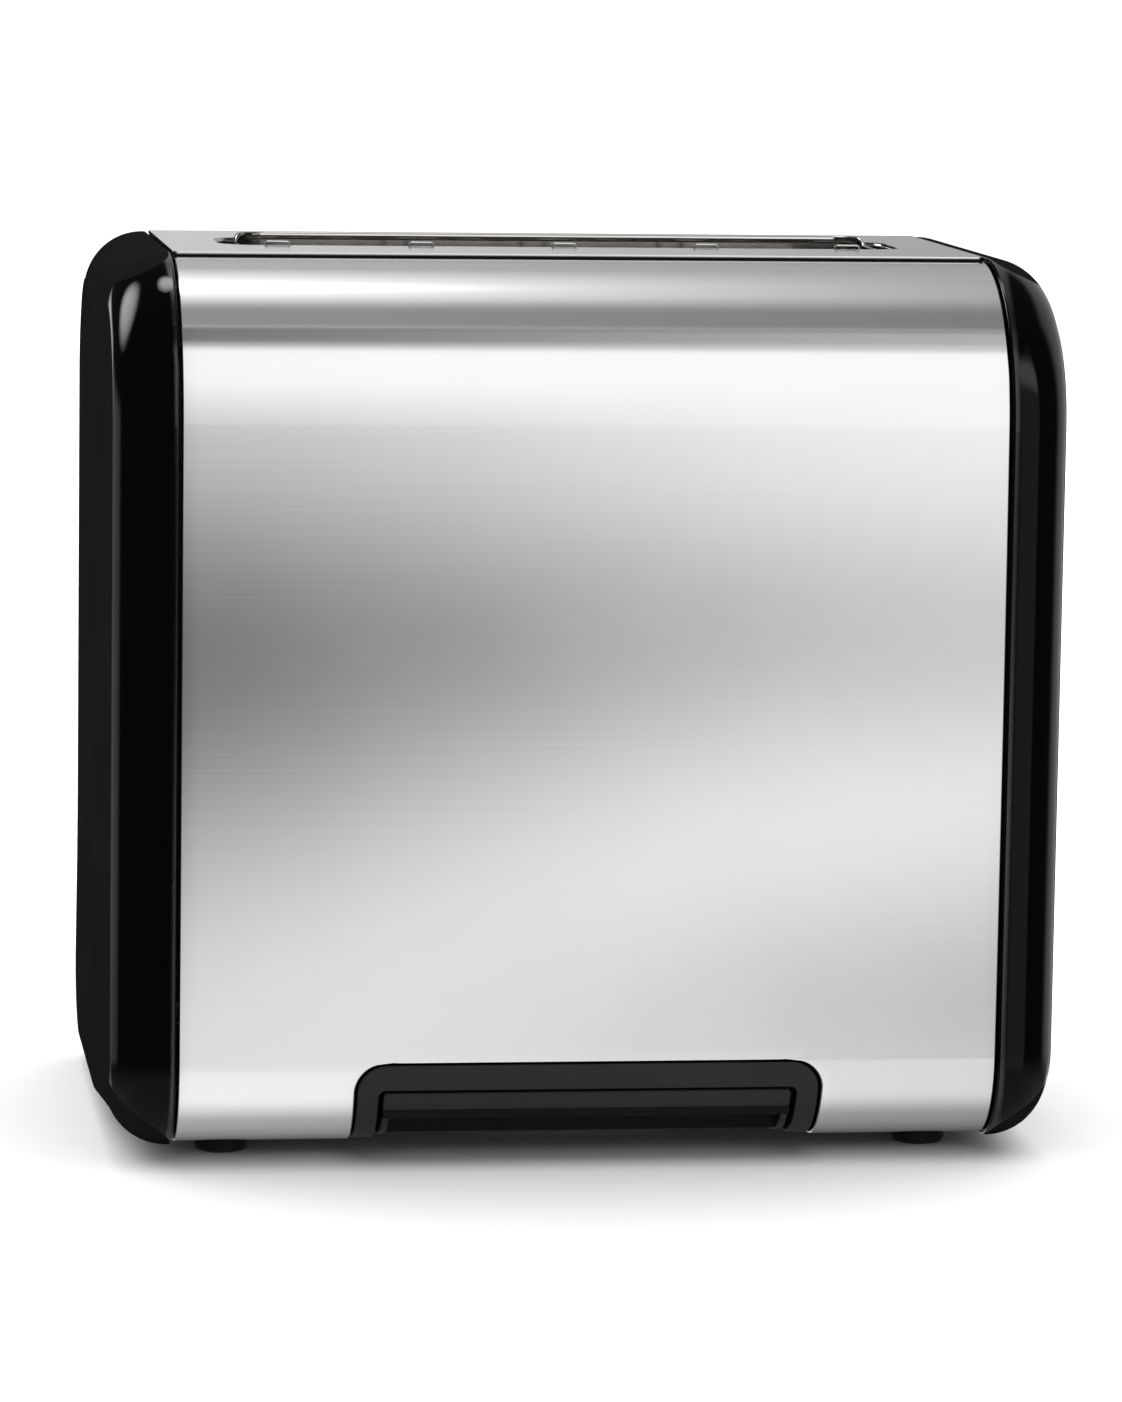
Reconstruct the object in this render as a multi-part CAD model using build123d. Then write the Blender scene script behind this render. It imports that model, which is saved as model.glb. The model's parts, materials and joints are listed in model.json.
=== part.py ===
from build123d import *
import math
import os

os.makedirs("parts", exist_ok=True)

# Toaster with one wide bread slot, a satin steel wrap and two gloss black end caps.
# Millimetres, +Z up, the front with the crumb tray faces -Y, the lever is at the +X end.
# Everything is drawn about the middle of the steel and moved to the origin when written.

# Outer body
body_depth = 150.0
slot_end_margin = 13.0
body_top = 193.5
foot_height = 4.0
top_round = 34.0
bottom_round = 20.0
sheet = 0.8
plate_sheet = 0.8
seam_gap = 0.25
hem_width = 5.0
plate_overhang = 0.5
bottom_hem = 2.0

# End caps
cap_reach = 14.0
cap_proud = 0.8
cap_wall = 2.5
cap_straight = 0.8
cap_edge_round = 0.5
lip_length = 4.0
lip_thickness = 1.6
lip_clearance = 0.3
boss_radius = 3.5

# Bread slot and its liner
slot_length = 150.0
slot_width = 30.0
slot_corner = 8.0
slot_flange = 2.2
liner_sheet = 0.6
liner_clearance = 0.4
liner_end_gap = 4.0
liner_corner = 7.0
liner_depth = 17.0
liner_sink = 0.5
bead_radius = 0.7
bead_rise = 1.3
liner_tab_width = 12.0
shortest_run = 0.01

# Inner frame, and how far a cutting shape runs past what it cuts
part_gap = 0.3
past = 1.0
chassis_sheet = 1.0
chassis_margin = 4.0
chassis_flange = 4.0
neck_height = 4.0
fold_margin = 8.0
foot_clearance = 2.0
collar_room = 1.0
rack_slot_room = 2.0
cap_screw_inset = 6.0
cap_screw_gap = 6.0
cap_screw_rise = 6.0
cap_screw_drop = 28.5

# Bread guides
wire_radius = 0.8
wire_sides = 8
crown_bend = 1.2
bar_radius = 1.0
weld_sink = 0.24
hairpin_count = 5
hairpin_pitch = 31.5
hairpin_width = 6.3
guide_front_rise = 0.5
guide_rear_drop = 2.5
guide_wall_gap = 0.6
guide_travel = 6.0
guide_bar_top = 168.0
guide_bar_low = 42.0
guide_foot = 38.0
guide_slot_clearance = 0.4
bar_overrun = 1.6

# Heating elements and reflectors
card_offset = 23.0
card_thickness = 0.6
card_low = 46.0
card_high = 162.0
card_end_gap = 5.0
card_tab_height = 8.0
card_tab_inset = 14.0
card_tab_overrun = 0.2
card_slot_clearance = 0.3
ribbon_width = 2.0
ribbon_thickness = 0.4
ribbon_runs = 11
ribbon_inset = 5.0
reflector_offset = 38.0
reflector_sheet = 0.8
reflector_low = 18.0
reflector_high = 184.0
reflector_flange = 6.0

# Bread carriage and lever
lever_travel = 76.0
rack_height = 138.0
rack_sheet = 1.6
rack_depth = 8.0
rack_slot_clearance = 0.6
rack_overrun = 2.5
rack_finger_count = 8
rack_finger_reach = 9.5
rack_finger_width = 3.0
rack_finger_offset = 5.25
slider_margin = 2.0
slider_thickness = 10.0
slider_half_width = 17.5
slider_ear = 3.0
rod_radius = 2.5
rod_offset = 11.0
running_gap = 0.05
bush_wall = 1.6
bracket_thickness = 3.0
bracket_half_width = 6.0
bumper_height = 2.7
bumper_radius = 4.0
lever_width = 3.0
lever_height = 8.0
lever_slot_gap = 0.9
knob_width = 22.0
knob_height = 11.0
knob_corner = 4.0
knob_edge = 2.2
knob_cover = 3.0
control_reach = 10.0
control_gap = 0.8
arm_pocket = 4.0
fit_gap = 0.1

# Lift spring
spring_radius = 3.0
spring_wire = 0.9
spring_wire_sides = 6
spring_turns = 14
spring_offset = 13.0
spring_top = 172.0
anchor_width = 5.0
anchor_overrun = 1.0

# Hold magnet and mains contacts
magnet_width = 16.0
magnet_height = 20.0
magnet_pole = 4.0
magnet_pole_depth = 6.0
magnet_gap = 0.5
coil_thickness = 2.2
coil_corner = 1.76
coil_height = 11.0
armature_thickness = 2.0
armature_lap = 2.0
armature_inset = 1.0
contact_width = 12.0
contact_height = 16.0
contact_depth = 10.0
contact_gap = 2.5
blade_thickness = 0.5
blade_width = 6.0
blade_height = 9.0
blade_inset = 1.5

# Controls in the right end
board_thickness = 1.6
switch_height = 2.4
switch_size = 6.0
button_flange = 0.8
pot_height = 3.5
pot_radius = 8.0
button_radius = 4.5
button_gap = 0.3
button_proud = 1.8
button_travel = 1.5
button_pitch = 14.0
button_height = 167.0
button_collar = 1.0
button_edge = 0.8
dial_radius = 13.0
dial_reach = 9.0
dial_height = 36.0
dial_edge = 1.2
dial_cover = 2.0
dial_flutes = 20
dial_flute_radius = 0.9
dial_flute_offset = 0.27
dial_skirt = 1.5
pointer_depth = 0.6
pointer_half = 0.7
pointer_inner = 5.85
pointer_outer = 10.4
shaft_radius = 3.0
shaft_clearance = 0.5
board_screw_radius = 1.25
board_screw_stop = 0.5
board_head_radius = 2.5
board_head_height = 1.5
board_post_radius = 2.5
board_spring_gap = 6.0
board_boss_gap = 1.5
board_above_buttons = 9.0
board_below_dial = 14.0
board_tongue_reach = 7.0
board_tongue_drop = 8.0
board_tongue_rise = 13.0
board_tongue_margin = 6.0
post_inset = 5.0
post_rise = 4.0
post_shift = 2.0

# Base, feet, tray and bezel
pan_thickness = 2.0
pan_lift = 0.2
foot_radius = 6.0
foot_edge = 1.5
foot_end_inset = 11.5
foot_side_inset = 29.0
stem_radius = 2.5
collar_height = 1.8
collar_flare = 1.0
collar_taper = 0.5
vent_count = 6
vent_width = 3.0
vent_length = 44.0
vent_margin = 12.0
notch_width = 100.4
notch_height = 19.2
notch_corner = 6.6
bezel_gap = 0.6
bezel_band = 4.7
bezel_inset = 0.4
bezel_depth = 2.5
bezel_flange = 3.4
tray_gap = 0.4
tray_inset = 1.2
tray_front_depth = 14.0
pull_band = 5.3
pull_leg = 2.2
pull_wall = 1.8
tray_sheet = 0.8
tray_wall_height = 5.4
tray_length = 106.0
tray_side_gap = 1.3
runner_wall = 1.2
runner_lip = 2.0
runner_lip_sheet = 1.0
runner_front_gap = 0.5
runner_rear_gap = 3.0
gland_radius = 6.0
gland_bore = 3.5
gland_flange = 1.0
gland_neck = 3.0
gland_foot_gap = 6.0
gland_shift = 4.0
terminal_half_length = 8.0
terminal_gap = 10.0
terminal_depth = 10.0
terminal_drop = 2.0
terminal_runner_gap = 5.7
screw_radius = 1.5
screw_head_radius = 3.0
screw_head_height = 2.0
screw_length = 9.0
base_head_radius = 2.6
base_head_height = 1.0
base_screw_tip = 1.0
base_screw_gap = 18.0

# Sizes worked out from the ones above
steel_length = slot_length + 2 * slot_end_margin
wrap_top = body_top - plate_sheet - seam_gap
wrap_mid = (foot_height + wrap_top) / 2
half_depth = body_depth / 2
half_steel = steel_length / 2 - seam_gap
plate_half = half_depth - top_round + plate_overhang
hem_end = half_depth - top_round - hem_width
pan_half = half_depth - bottom_round - bottom_hem - part_gap
cap_start = steel_length / 2 + seam_gap
cap_end = steel_length / 2 + cap_reach
cap_inner = cap_end - cap_wall
cap_round = cap_end - cap_start - cap_straight
chassis_x = slot_length / 2 + chassis_margin
chassis_outer = chassis_x + chassis_sheet
screw_y = reflector_offset + cap_screw_gap
chassis_half_depth = screw_y + cap_screw_inset
foot_x = steel_length / 2 - foot_end_inset
foot_y = half_depth - foot_side_inset
pan_low = foot_height + pan_lift
pan_top = pan_low + pan_thickness
centre_shift = -control_reach / 2
bay_x = chassis_outer + part_gap
liner_half = slot_width / 2 - liner_clearance
liner_end = slot_length / 2 - liner_end_gap
guide_y = liner_half - liner_sheet - guide_wall_gap - wire_radius
bar_y = guide_y + wire_radius + bar_radius - weld_sink
bar_end = chassis_outer + bar_overrun


def box(x0, x1, y0, y1, z0, z1):
    """Block between two corners."""
    size = (abs(x1 - x0), abs(y1 - y0), abs(z1 - z0))
    return Pos((x0 + x1) / 2, (y0 + y1) / 2, (z0 + z1) / 2) * Box(*size)


def rod_x(radius, x0, x1, y, z):
    """Round bar along X."""
    return Pos((x0 + x1) / 2, y, z) * Rot(0, 90, 0) * Cylinder(radius, abs(x1 - x0))


def rod_z(radius, z0, z1, x, y):
    """Round bar along Z."""
    return Pos(x, y, (z0 + z1) / 2) * Cylinder(radius, abs(z1 - z0))


def side_slab(grow, x0, x1):
    """Slice of the body between two X places, its side outline grown by grow."""
    low = foot_height - grow
    high = wrap_top + grow
    outline = Pos(0, (low + high) / 2) * Rectangle(body_depth + 2 * grow, high - low)
    outline = fillet(outline.vertices().group_by(Axis.Y)[-1], top_round + grow)
    outline = fillet(outline.vertices().group_by(Axis.Y)[0], bottom_round + grow)
    plane = Plane(origin=(x0, 0, 0), x_dir=(0, 1, 0), z_dir=(1, 0, 0))
    return extrude(plane * outline, amount=x1 - x0)


def oblong(length, width, corner, z0, z1):
    """Upright prism with rounded corners seen from above."""
    outline = RectangleRounded(length, width, corner)
    return extrude(Pos(0, 0, z0) * outline, amount=z1 - z0)


def group(shapes):
    """Several separate solids in one node."""
    whole = shapes[0]
    for shape in shapes[1:]:
        whole = whole + shape
    return whole


def rear_of(shape):
    """The same piece for the rear, mirrored through the plane of the slot."""
    return mirror(shape, about=Plane.XZ)


def save(shape, name):
    """Write one node, moved so that the origin is under the middle of the whole."""
    placed = Pos(centre_shift, 0, 0) * shape
    placed.label = name
    export_step(placed, os.path.join("parts", name + ".step"))


# Steel wrap, front and rear, each with a hem under the top plate
notch_back = pan_half + part_gap


def wrap_panel():
    ring = side_slab(0, -half_steel, half_steel) - side_slab(-sheet, -half_steel, half_steel)
    reach = half_steel + past
    rear = half_depth + past
    top_cut = box(-reach, reach, -hem_end, rear, wrap_mid, wrap_top + past)
    low_cut = box(-reach, reach, -notch_back, rear, foot_height - past, wrap_mid)
    return ring - top_cut - low_cut


def notch_block(shrink, y0, y1, floor):
    """Prism of the tray notch seen from the front, smaller all round by shrink."""
    half = notch_width / 2 - shrink
    top = foot_height + notch_height - shrink
    face = Pos(0, (floor + top) / 2) * Rectangle(2 * half, top - floor)
    face = fillet(face.vertices().group_by(Axis.Y)[-1], notch_corner - shrink)
    plane = Plane(origin=(0, y1, 0), x_dir=(1, 0, 0), z_dir=(0, -1, 0))
    return extrude(plane * face, amount=y1 - y0)


front_reach = half_depth + 2 * past
notch_floor = foot_height - 2 * past
front_panel = wrap_panel() - notch_block(0, -front_reach, -notch_back + past, notch_floor)
save(front_panel, "front_panel")
rear_panel = rear_of(wrap_panel())
save(rear_panel, "rear_panel")

# Top plate with the bread slot and its turned-down edge
plate_low = body_top - plate_sheet
top_plate = box(-half_steel, half_steel, -plate_half, plate_half, plate_low, body_top)
flange_outer = oblong(slot_length + 2 * plate_sheet, slot_width + 2 * plate_sheet,
                      slot_corner + plate_sheet, plate_low - slot_flange, plate_low)
top_plate = top_plate + flange_outer
top_plate = top_plate - oblong(slot_length, slot_width, slot_corner,
                               plate_low - slot_flange - past, body_top + past)
save(top_plate, "top_plate")

# Slot liner: a steel ring in the slot whose rear wall stands up and ends in a rolled bead
liner_low = body_top - liner_depth
bead_z = body_top + bead_rise - bead_radius
front_top = body_top - liner_sink
liner_outer = oblong(2 * liner_end, 2 * liner_half, liner_corner, liner_low, bead_z)
liner_inner = oblong(2 * (liner_end - liner_sheet), 2 * (liner_half - liner_sheet),
                     liner_corner - liner_sheet, liner_low - past, bead_z + past)
return_y = liner_half - liner_corner
slot_liner = liner_outer - liner_inner
slot_liner = slot_liner - box(-liner_end - past, liner_end + past, -liner_half - past,
                              return_y, front_top, bead_z + past)
mid_wall = liner_sheet / 2
bead_x = liner_end - mid_wall
bead_y = liner_half - mid_wall
bead_bend = liner_corner - mid_wall
bead_path = FilletPolyline((-bead_x, return_y, bead_z), (-bead_x, bead_y, bead_z),
                           (bead_x, bead_y, bead_z), (bead_x, return_y, bead_z),
                           radius=bead_bend - shortest_run)
bead_plane = Plane(origin=(-bead_x, return_y, bead_z), x_dir=(1, 0, 0), z_dir=(0, 1, 0))
slot_liner = slot_liner + sweep(bead_plane * Circle(bead_radius), path=bead_path)
for side in (-1, 1):
    tab_start = side * bead_x
    tab_end = side * (chassis_x - part_gap)
    slot_liner = slot_liner + box(tab_start, tab_end, -liner_tab_width / 2, liner_tab_width / 2,
                                  liner_low, liner_low + liner_sheet)
save(slot_liner, "slot_liner")

# Places of the cap screws, in pairs front and rear
screw_low_z = foot_height + bottom_round + cap_screw_rise
screw_high_z = body_top - cap_screw_drop
screw_places = [(y, z) for y in (-screw_y, screw_y) for z in (screw_low_z, screw_high_z)]


# End cap at the +X end, without the holes for the controls
def end_cap():
    outer = side_slab(cap_proud, cap_start, cap_end)
    rim = outer.faces().sort_by(Axis.X)[-1]
    outer = fillet(rim.edges(), cap_round)
    seam = outer.faces().sort_by(Axis.X)[0]
    outer = fillet(seam.edges(), cap_edge_round)
    hollow = side_slab(cap_proud - cap_wall, cap_start - past, cap_inner)
    hollow_rim = hollow.faces().sort_by(Axis.X)[-1]
    hollow = fillet(hollow_rim.edges(), cap_round - cap_wall)
    lip_outer = -sheet - lip_clearance
    lip_end = cap_start + lip_thickness
    lip_ring = side_slab(lip_outer, cap_start - lip_length, lip_end)
    lip_ring = lip_ring - side_slab(lip_outer - lip_thickness, cap_start - lip_length - past,
                                    lip_end + past)
    shell = (outer - hollow) + lip_ring
    for y, z in screw_places:
        shell = shell + rod_x(boss_radius, bay_x, cap_inner + cap_wall / 2, y, z)
        shell = shell - rod_x(screw_radius + running_gap, bay_x - past, bay_x + screw_length, y, z)
    return shell


left_end_cap = mirror(end_cap(), about=Plane.YZ)
save(left_end_cap, "left_end_cap")

# Heights of the lever and its slot
lever_z = rack_height + lever_height / 2
slot_half = lever_width / 2 + lever_slot_gap
slot_top = lever_z + lever_height / 2 + lever_slot_gap
slot_low = lever_z - lever_travel - lever_height / 2 - lever_slot_gap

# Board with its posts on the inside of the right cap
board_outer = cap_inner - part_gap - button_flange - button_travel - part_gap - switch_height
board_inner = board_outer - board_thickness
post_end = board_outer + part_gap
board_strip_y = spring_offset + spring_radius + board_spring_gap
board_edge_y = screw_y - boss_radius - board_boss_gap
board_top_z = button_height + board_above_buttons
board_low_z = dial_height - board_below_dial
tongue_y = -button_pitch - board_tongue_reach
upper_tongue_z = button_height - board_tongue_drop
lower_tongue_z = dial_height + board_tongue_rise
post_low_z = board_low_z + post_rise
post_places = [(board_edge_y - post_inset, post_low_z),
               (board_edge_y - post_inset, board_top_z - post_rise),
               (tongue_y + post_shift, post_low_z), (tongue_y - post_shift, button_height)]
tongue_end = tongue_y - board_tongue_margin
cap_cut_start = cap_inner - 2 * past
cap_cut_end = cap_end + past

right_end_cap = end_cap()
right_end_cap = right_end_cap - box(cap_cut_start, cap_cut_end, -slot_half, slot_half,
                                    slot_low, slot_top)
button_places = [-button_pitch, 0.0, button_pitch]
for y in button_places:
    right_end_cap = right_end_cap - rod_x(button_radius + button_gap, cap_cut_start,
                                          cap_cut_end, y, button_height)
right_end_cap = right_end_cap - rod_x(shaft_radius + shaft_clearance, cap_cut_start,
                                      cap_cut_end, 0, dial_height)
for y, z in post_places:
    post = rod_x(board_post_radius, post_end, cap_inner + cap_wall / 2, y, z)
    post = post - rod_x(board_screw_radius + running_gap, post_end - past, cap_inner, y, z)
    right_end_cap = right_end_cap + post
save(right_end_cap, "right_end_cap")

# Base pan with holes for the feet, vents under the tray and the cord gland
gland_x = -foot_x + foot_radius + gland_radius + gland_foot_gap
gland_y = foot_y - gland_shift
foot_places = [(x, y) for x in (-foot_x, foot_x) for y in (-foot_y, foot_y)]
pan_screw_y = foot_y - base_screw_gap
pan_cut_low = pan_low - past
pan_cut_top = pan_top + past
pan_screw_x = chassis_outer + chassis_flange / 2 + fit_gap
pan_screw_places = [(x, y) for x in (-pan_screw_x, pan_screw_x)
                    for y in (-pan_screw_y, pan_screw_y)]
base_pan = box(-half_steel, half_steel, -pan_half, pan_half, pan_low, pan_top)
lip_room = foot_height + sheet + lip_clearance - part_gap
for side in (-1, 1):
    lip_start = side * (cap_start - lip_length - part_gap)
    base_pan = base_pan - box(lip_start, side * (half_steel + past), -pan_half - past,
                              pan_half + past, lip_room, pan_cut_top)
for x, y in foot_places:
    base_pan = base_pan - rod_z(stem_radius + fit_gap, pan_cut_low, pan_cut_top, x, y)
for x, y in pan_screw_places:
    base_pan = base_pan - rod_z(screw_radius + fit_gap, pan_cut_low, pan_cut_top, x, y)
base_pan = base_pan - rod_z(gland_radius - gland_flange + fit_gap, pan_cut_low, pan_cut_top,
                            gland_x, gland_y)
vent_pitch = 2 * (pan_half - vent_margin) / vent_count
for step in range(vent_count):
    vent_y = (step - (vent_count - 1) / 2) * vent_pitch
    slot_shape = Pos(0, vent_y, pan_cut_low) * SlotOverall(vent_length, vent_width)
    base_pan = base_pan - extrude(slot_shape, amount=pan_cut_top - pan_cut_low)
save(base_pan, "base_pan")


# Rubber feet, each with a stem pressed through the pan and a collar above it
def foot(x, y):
    pad = rod_z(foot_radius, 0, pan_low, x, y)
    low_edge = pad.edges().group_by(Axis.Z)[0]
    pad = fillet(low_edge, foot_edge)
    stem = rod_z(stem_radius, pan_low, pan_top + fit_gap, x, y)
    collar_mid = pan_top + fit_gap + collar_height / 2
    collar = Cone(stem_radius + collar_flare, stem_radius - collar_taper, collar_height)
    collar = Pos(x, y, collar_mid) * collar
    return pad + stem + collar


save(group([foot(x, y) for x, y in foot_places]), "feet")


# Screws that hold the pan to the folded feet of the chassis plates, heads below
def upright_screw(x, y):
    head = rod_z(base_head_radius, pan_low - base_head_height, pan_low, x, y)
    shank = rod_z(screw_radius, pan_low, chassis_low + chassis_sheet + base_screw_tip, x, y)
    return head + shank


chassis_low = pan_top + part_gap
chassis_top = plate_low - part_gap
save(group([upright_screw(x, y) for x, y in pan_screw_places]), "base_screws")

# Dark bezel round the crumb tray, its flange behind the steel
bezel_back = -notch_back - part_gap
front_skin = side_slab(-bezel_inset, -notch_width, notch_width)
front_core = side_slab(-bezel_inset - bezel_depth, -notch_width - past, notch_width + past)
hidden_skin = side_slab(-sheet - lip_clearance, -notch_width, notch_width)
face_ring = (front_skin - front_core) & notch_block(bezel_gap, -front_reach, bezel_back,
                                                    notch_floor)
flange_ring = (hidden_skin - front_core) & notch_block(-bezel_flange, -front_reach, bezel_back,
                                                       notch_floor)
tray_bezel = (face_ring + flange_ring) - notch_block(bezel_gap + bezel_band, -front_reach - past,
                                                     bezel_back + past, notch_floor - past)
save(tray_bezel, "tray_bezel")

# Front of the crumb tray with the finger pull underneath
tray_half = notch_width / 2 - bezel_gap - bezel_band - tray_gap
tray_front_top = foot_height + notch_height - bezel_gap - bezel_band - tray_gap
tray_back = -(half_depth - tray_inset - tray_front_depth)
pull_top = tray_front_top - pull_band
tray_front = side_slab(-tray_inset, -tray_half, tray_half)
tray_front = tray_front & box(-tray_half, tray_half, -front_reach, tray_back, 0, tray_front_top)
pull_half = tray_half - pull_leg
tray_front = tray_front - box(-pull_half, pull_half, -front_reach, tray_back - pull_wall,
                              0, pull_top)
save(tray_front, "tray_front")

# Sheet steel crumb tray and its two runners
tray_low = pan_top + tray_gap
tray_top = tray_low + tray_wall_height
pan_width = tray_half - tray_side_gap
crumb_tray = box(-pan_width, pan_width, tray_back, tray_back + tray_length, tray_low, tray_top)
crumb_tray = crumb_tray - box(-pan_width + tray_sheet, pan_width - tray_sheet,
                              tray_back + tray_sheet, tray_back + tray_length - tray_sheet,
                              tray_low + tray_sheet, tray_top + past)
save(crumb_tray, "crumb_tray")


def runner(side):
    inner = pan_width + tray_gap
    outer = inner + runner_wall
    top = tray_top + tray_gap + runner_lip_sheet
    front = -pan_half + runner_front_gap
    rear = pan_half - runner_rear_gap
    rail = box(side * inner, side * outer, front, rear, pan_top, top)
    lip = box(side * (inner - runner_lip), side * inner, front, rear, tray_top + tray_gap, top)
    return rail + lip


save(group([runner(-1), runner(1)]), "tray_runners")

# Chassis plates: carry the liner, the elements, the guides and the end caps
spring_x = bay_x + part_gap + slider_thickness / 2
bar_levels = (guide_bar_low, guide_bar_top)
tab_levels = (card_low + card_tab_inset, card_high - card_tab_inset)
rack_low = rack_height - rack_depth
foot_room = pan_top + collar_height + collar_room


def chassis_plate():
    sheet_gap = sheet + part_gap
    body = side_slab(-sheet_gap, chassis_x, chassis_outer)
    body = body & box(chassis_x, chassis_outer, -chassis_half_depth, chassis_half_depth,
                      chassis_low, chassis_top)
    neck = hem_end - part_gap
    body = body + box(chassis_x, chassis_outer, -neck, neck, chassis_top - neck_height,
                      chassis_top)
    body = body + box(chassis_outer, chassis_outer + chassis_flange, -neck, neck,
                      chassis_top - chassis_sheet, chassis_top)
    foot_fold = box(chassis_outer, chassis_outer + chassis_flange, -pan_screw_y - fold_margin,
                    pan_screw_y + fold_margin, chassis_low, chassis_low + chassis_sheet)
    body = body + foot_fold
    for y in (-pan_screw_y, pan_screw_y):
        body = body - rod_z(screw_radius + fit_gap, chassis_low - past,
                            chassis_low + chassis_sheet + past, pan_screw_x, y)
    x0 = chassis_x - past
    x1 = chassis_outer + past
    rack_half = rack_sheet / 2 + rack_slot_clearance
    body = body - box(x0, x1, -rack_half, rack_half, rack_low - lever_travel - rack_slot_room,
                      rack_height + rack_slot_room)
    slot_inner = bar_y - guide_travel - bar_radius - guide_slot_clearance
    slot_outer = bar_y + bar_radius + guide_slot_clearance
    slot_rise = bar_radius + guide_slot_clearance
    card_room = card_thickness / 2 + card_slot_clearance
    tab_rise = card_tab_height / 2 + card_slot_clearance
    for side in (-1, 1):
        for z in bar_levels:
            body = body - box(x0, x1, side * slot_inner, side * slot_outer,
                              z - slot_rise, z + slot_rise)
        for z in tab_levels:
            body = body - box(x0, x1, side * card_offset - card_room,
                              side * card_offset + card_room, z - tab_rise, z + tab_rise)
    for y, z in screw_places:
        body = body - rod_x(screw_radius + fit_gap, x0, x1, y, z)
    foot_side = foot_y - stem_radius - foot_clearance
    for side in (-1, 1):
        body = body - box(x0, x1, side * foot_side, side * (chassis_half_depth + past),
                          chassis_low - past, foot_room)
    return body


left_chassis_plate = mirror(chassis_plate(), about=Plane.YZ)
save(left_chassis_plate, "left_chassis_plate")
anchor = box(chassis_outer, spring_x + spring_radius + anchor_overrun,
             spring_offset - anchor_width / 2, spring_offset + anchor_width / 2,
             spring_top + part_gap, spring_top + part_gap + chassis_sheet)
save(chassis_plate() + anchor, "right_chassis_plate")


# Screws that pull the end caps to the chassis plates, heads inside
def cap_screw(side, y, z):
    head = rod_x(screw_head_radius, side * (chassis_x - part_gap - screw_head_height),
                 side * (chassis_x - part_gap), y, z)
    shank = rod_x(screw_radius, side * (chassis_x - part_gap),
                  side * (bay_x + screw_length - past), y, z)
    return head + shank


save(group([cap_screw(side, y, z) for side in (-1, 1) for y, z in screw_places]), "cap_screws")

# Heat reflectors between the elements and the steel wrap
reflector_end = chassis_x - part_gap
front_reflector = box(-reflector_end, reflector_end, -reflector_offset,
                      -reflector_offset + reflector_sheet, reflector_low, reflector_high)
for z in (reflector_low, reflector_high - reflector_sheet):
    front_reflector = front_reflector + box(-reflector_end, reflector_end, -reflector_offset,
                                            -reflector_offset + reflector_flange,
                                            z, z + reflector_sheet)
save(front_reflector, "front_reflector")
save(rear_of(front_reflector), "rear_reflector")

# Mica cards with tabs in the chassis plates, and the flat heating ribbon on each
card_end = chassis_x - card_end_gap
card_y0 = -card_offset - card_thickness / 2
card_y1 = -card_offset + card_thickness / 2
front_card = box(-card_end, card_end, card_y0, card_y1, card_low, card_high)
for side in (-1, 1):
    for z in tab_levels:
        tab_end = side * (chassis_outer + card_tab_overrun)
        front_card = front_card + box(side * card_end, tab_end, card_y0, card_y1,
                                      z - card_tab_height / 2, z + card_tab_height / 2)
save(front_card, "front_element_card")
save(rear_of(front_card), "rear_element_card")

ribbon_end = card_end - ribbon_inset
ribbon_pitch = (card_high - card_low - 2 * ribbon_inset) / (ribbon_runs - 1)
ribbon_y = card_y1 + ribbon_thickness
front_ribbon = box(-ribbon_end, ribbon_end, card_y1, ribbon_y, card_low + ribbon_inset
                   - ribbon_width / 2, card_low + ribbon_inset + ribbon_width / 2)
for step in range(1, ribbon_runs):
    z = card_low + ribbon_inset + step * ribbon_pitch
    side = 1 if step % 2 else -1
    run = box(-ribbon_end, ribbon_end, card_y1, ribbon_y, z - ribbon_width / 2,
              z + ribbon_width / 2)
    link = box(side * (ribbon_end - ribbon_width), side * ribbon_end, card_y1, ribbon_y,
               z - ribbon_pitch, z)
    front_ribbon = front_ribbon + run + link
save(front_ribbon, "front_heating_ribbon")
save(rear_of(front_ribbon), "rear_heating_ribbon")


# Bread guides: wire hairpins on two bars whose ends slide in the chassis plates
def bread_guide(top):
    half = hairpin_width / 2 - wire_radius
    wires = []
    for step in range(hairpin_count):
        x = (step - (hairpin_count - 1) / 2) * hairpin_pitch
        crown = top - wire_radius
        path = FilletPolyline((x - half, -guide_y, guide_foot), (x - half, -guide_y, crown),
                              (x + half, -guide_y, crown), (x + half, -guide_y, guide_foot),
                              radius=crown_bend)
        start = Plane(origin=(x - half, -guide_y, guide_foot), z_dir=(0, 0, 1))
        wires.append(sweep(start * RegularPolygon(wire_radius, wire_sides), path=path))
    bars = [rod_x(bar_radius, -bar_end, bar_end, -bar_y, z) for z in bar_levels]
    return group(bars + wires)


save(bread_guide(body_top + guide_front_rise), "front_bread_guide")
save(rear_of(bread_guide(body_top - guide_rear_drop)), "rear_bread_guide")

# Bread rack: a bar on edge with cross fingers between the hairpins
slider_inner = bay_x + part_gap
slider_outer = slider_inner + slider_thickness
rack_left = -(chassis_outer + rack_overrun)
rack_right = slider_inner + arm_pocket
bread_rack = box(rack_left, rack_right, -rack_sheet / 2, rack_sheet / 2, rack_low, rack_height)
for step in range(rack_finger_count // 2):
    gap_centre = (step - (rack_finger_count // 2 - 1) / 2) * hairpin_pitch
    for side in (-1, 1):
        x = gap_centre + side * rack_finger_offset
        bread_rack = bread_rack + box(x - rack_finger_width / 2, x + rack_finger_width / 2,
                                      -rack_finger_reach, rack_finger_reach,
                                      rack_height - rack_sheet, rack_height)
save(bread_rack, "bread_rack")

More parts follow.
